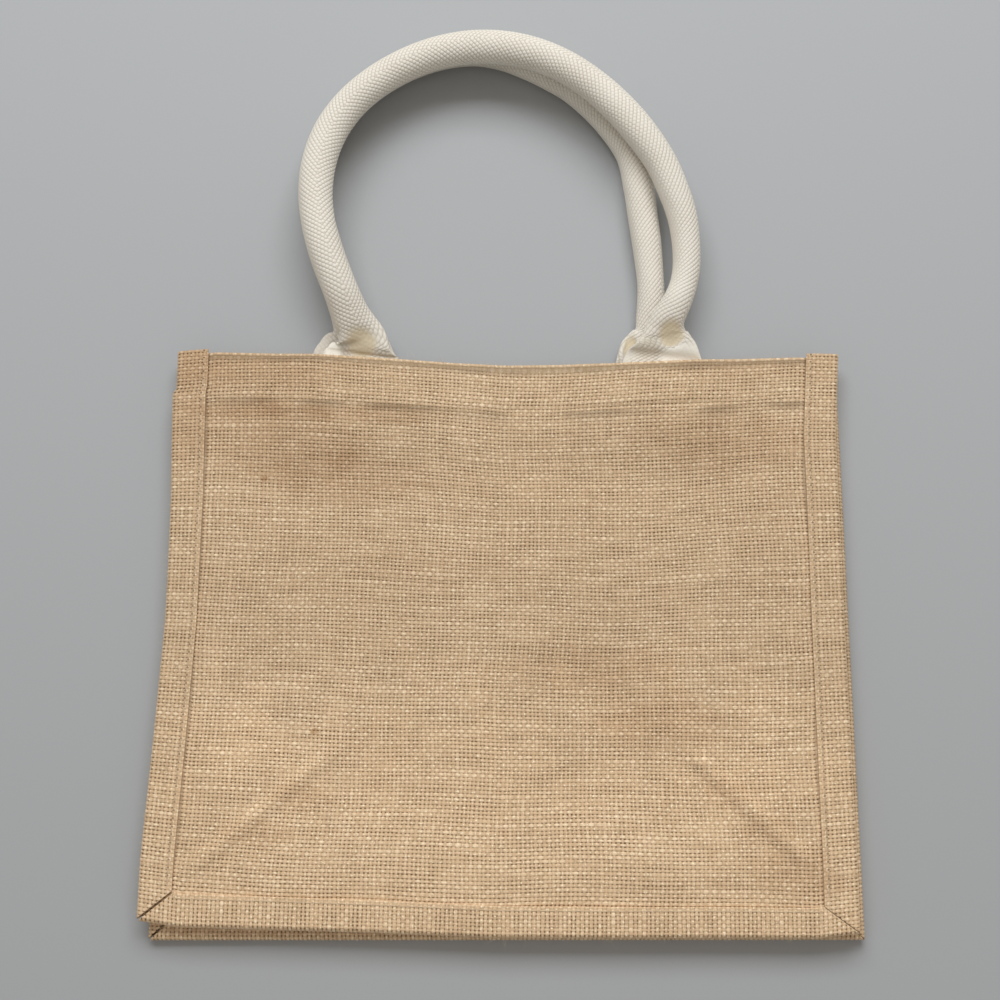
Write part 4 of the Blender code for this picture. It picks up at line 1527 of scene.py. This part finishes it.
class JUTE_BAG_OT_handles(bpy.types.Operator):
    """Close cotton webbing round its padding for the two handles"""

    bl_idname = "jute_bag.handles"
    bl_label = "Handles"

    def execute(self, context):
        material = webbing_finish("cotton_webbing")
        for name, table, twist, dents_and_painted_light, folds, columns, spacing in (
            ("front_handle", FRONT_HANDLE, FRONT_TWIST, FRONT_DENTS_AND_PAINTED_LIGHT, FRONT_FOLDS, 88, 0.58),
            ("back_handle", BACK_HANDLE, BACK_TWIST, BACK_DENTS_AND_PAINTED_LIGHT, BACK_FOLDS, 72, 0.7),
        ):
            made = make_handle(f"{name}_webbing", table, twist, dents_and_painted_light, folds, columns, spacing)
            set_material(made, material)
            settle(made, "cotton_webbing", name)
        return {"FINISHED"}


class JUTE_BAG_OT_stitching(bpy.types.Operator):
    """Sew the row of stitches along the front edge strip"""

    bl_idname = "jute_bag.stitching"
    bl_label = "Stitching"

    def execute(self, context):
        made = make_stitches()
        set_material(made, plain_finish("jute_thread", SEWING_THREAD))
        settle(made, "jute_edge")
        made.parent = bpy.data.objects["front_edge_strip_cloth"]
        return {"FINISHED"}


class JUTE_BAG_OT_loose_fibres(bpy.types.Operator):
    """Pull short fibres out of the jute"""

    bl_idname = "jute_bag.loose_fibres"
    bl_label = "Loose fibres"

    def execute(self, context):
        made = make_fibres()
        set_material(made, plain_finish("jute_fibre", LOOSE_FIBRE))
        settle(made, "jute")
        made.parent = bpy.data.objects["front_panel_cloth"]
        return {"FINISHED"}


class JUTE_BAG_OT_studio(bpy.types.Operator):
    """Lay the floor, hang the lights and set the camera"""

    bl_idname = "jute_bag.studio"
    bl_label = "Studio"

    def execute(self, context):
        lay_floor(context)
        hang_lights(context)
        set_camera(context)
        return {"FINISHED"}


class JUTE_BAG_PT_sidebar(bpy.types.Panel):
    """The bag's pieces, sizes and colours"""

    bl_idname = "JUTE_BAG_PT_sidebar"
    bl_label = "Jute bag"
    bl_space_type = "VIEW_3D"
    bl_region_type = "UI"
    bl_category = "Jute bag"

    def draw(self, context):
        for group in ("jute_bag_sizes", "jute_bag_colours", "jute_bag_studio"):
            settings = getattr(context.scene, group)
            box = self.layout.box()
            for name in settings.bl_rna.properties.keys():
                if name not in ("rna_type", "name"):
                    box.prop(settings, name)
        for operator in OPERATORS:
            self.layout.operator(operator.bl_idname)


OPERATORS = (
    JUTE_BAG_OT_front_panel,
    JUTE_BAG_OT_back_panel,
    JUTE_BAG_OT_gusset,
    JUTE_BAG_OT_edge_strips,
    JUTE_BAG_OT_handles,
    JUTE_BAG_OT_stitching,
    JUTE_BAG_OT_loose_fibres,
    JUTE_BAG_OT_studio,
)
GROUPS = {
    "jute_bag_sizes": JuteBagSizes,
    "jute_bag_colours": JuteBagColours,
    "jute_bag_studio": JuteBagStudio,
}


def register():
    for made in (*GROUPS.values(), *OPERATORS, JUTE_BAG_PT_sidebar):
        bpy.utils.register_class(made)
    for name, group in GROUPS.items():
        setattr(bpy.types.Scene, name, PointerProperty(type=group))


def unregister():
    for name in GROUPS:
        delattr(bpy.types.Scene, name)
    for made in (JUTE_BAG_PT_sidebar, *reversed(OPERATORS), *reversed(GROUPS.values())):
        bpy.utils.unregister_class(made)


def main():
    register()
    bpy.ops.jute_bag.front_panel()
    bpy.ops.jute_bag.back_panel()
    bpy.ops.jute_bag.gusset()
    bpy.ops.jute_bag.edge_strips()
    bpy.ops.jute_bag.handles()
    bpy.ops.jute_bag.stitching()
    bpy.ops.jute_bag.loose_fibres()
    bpy.ops.jute_bag.studio()


if __name__ == "__main__":
    main()
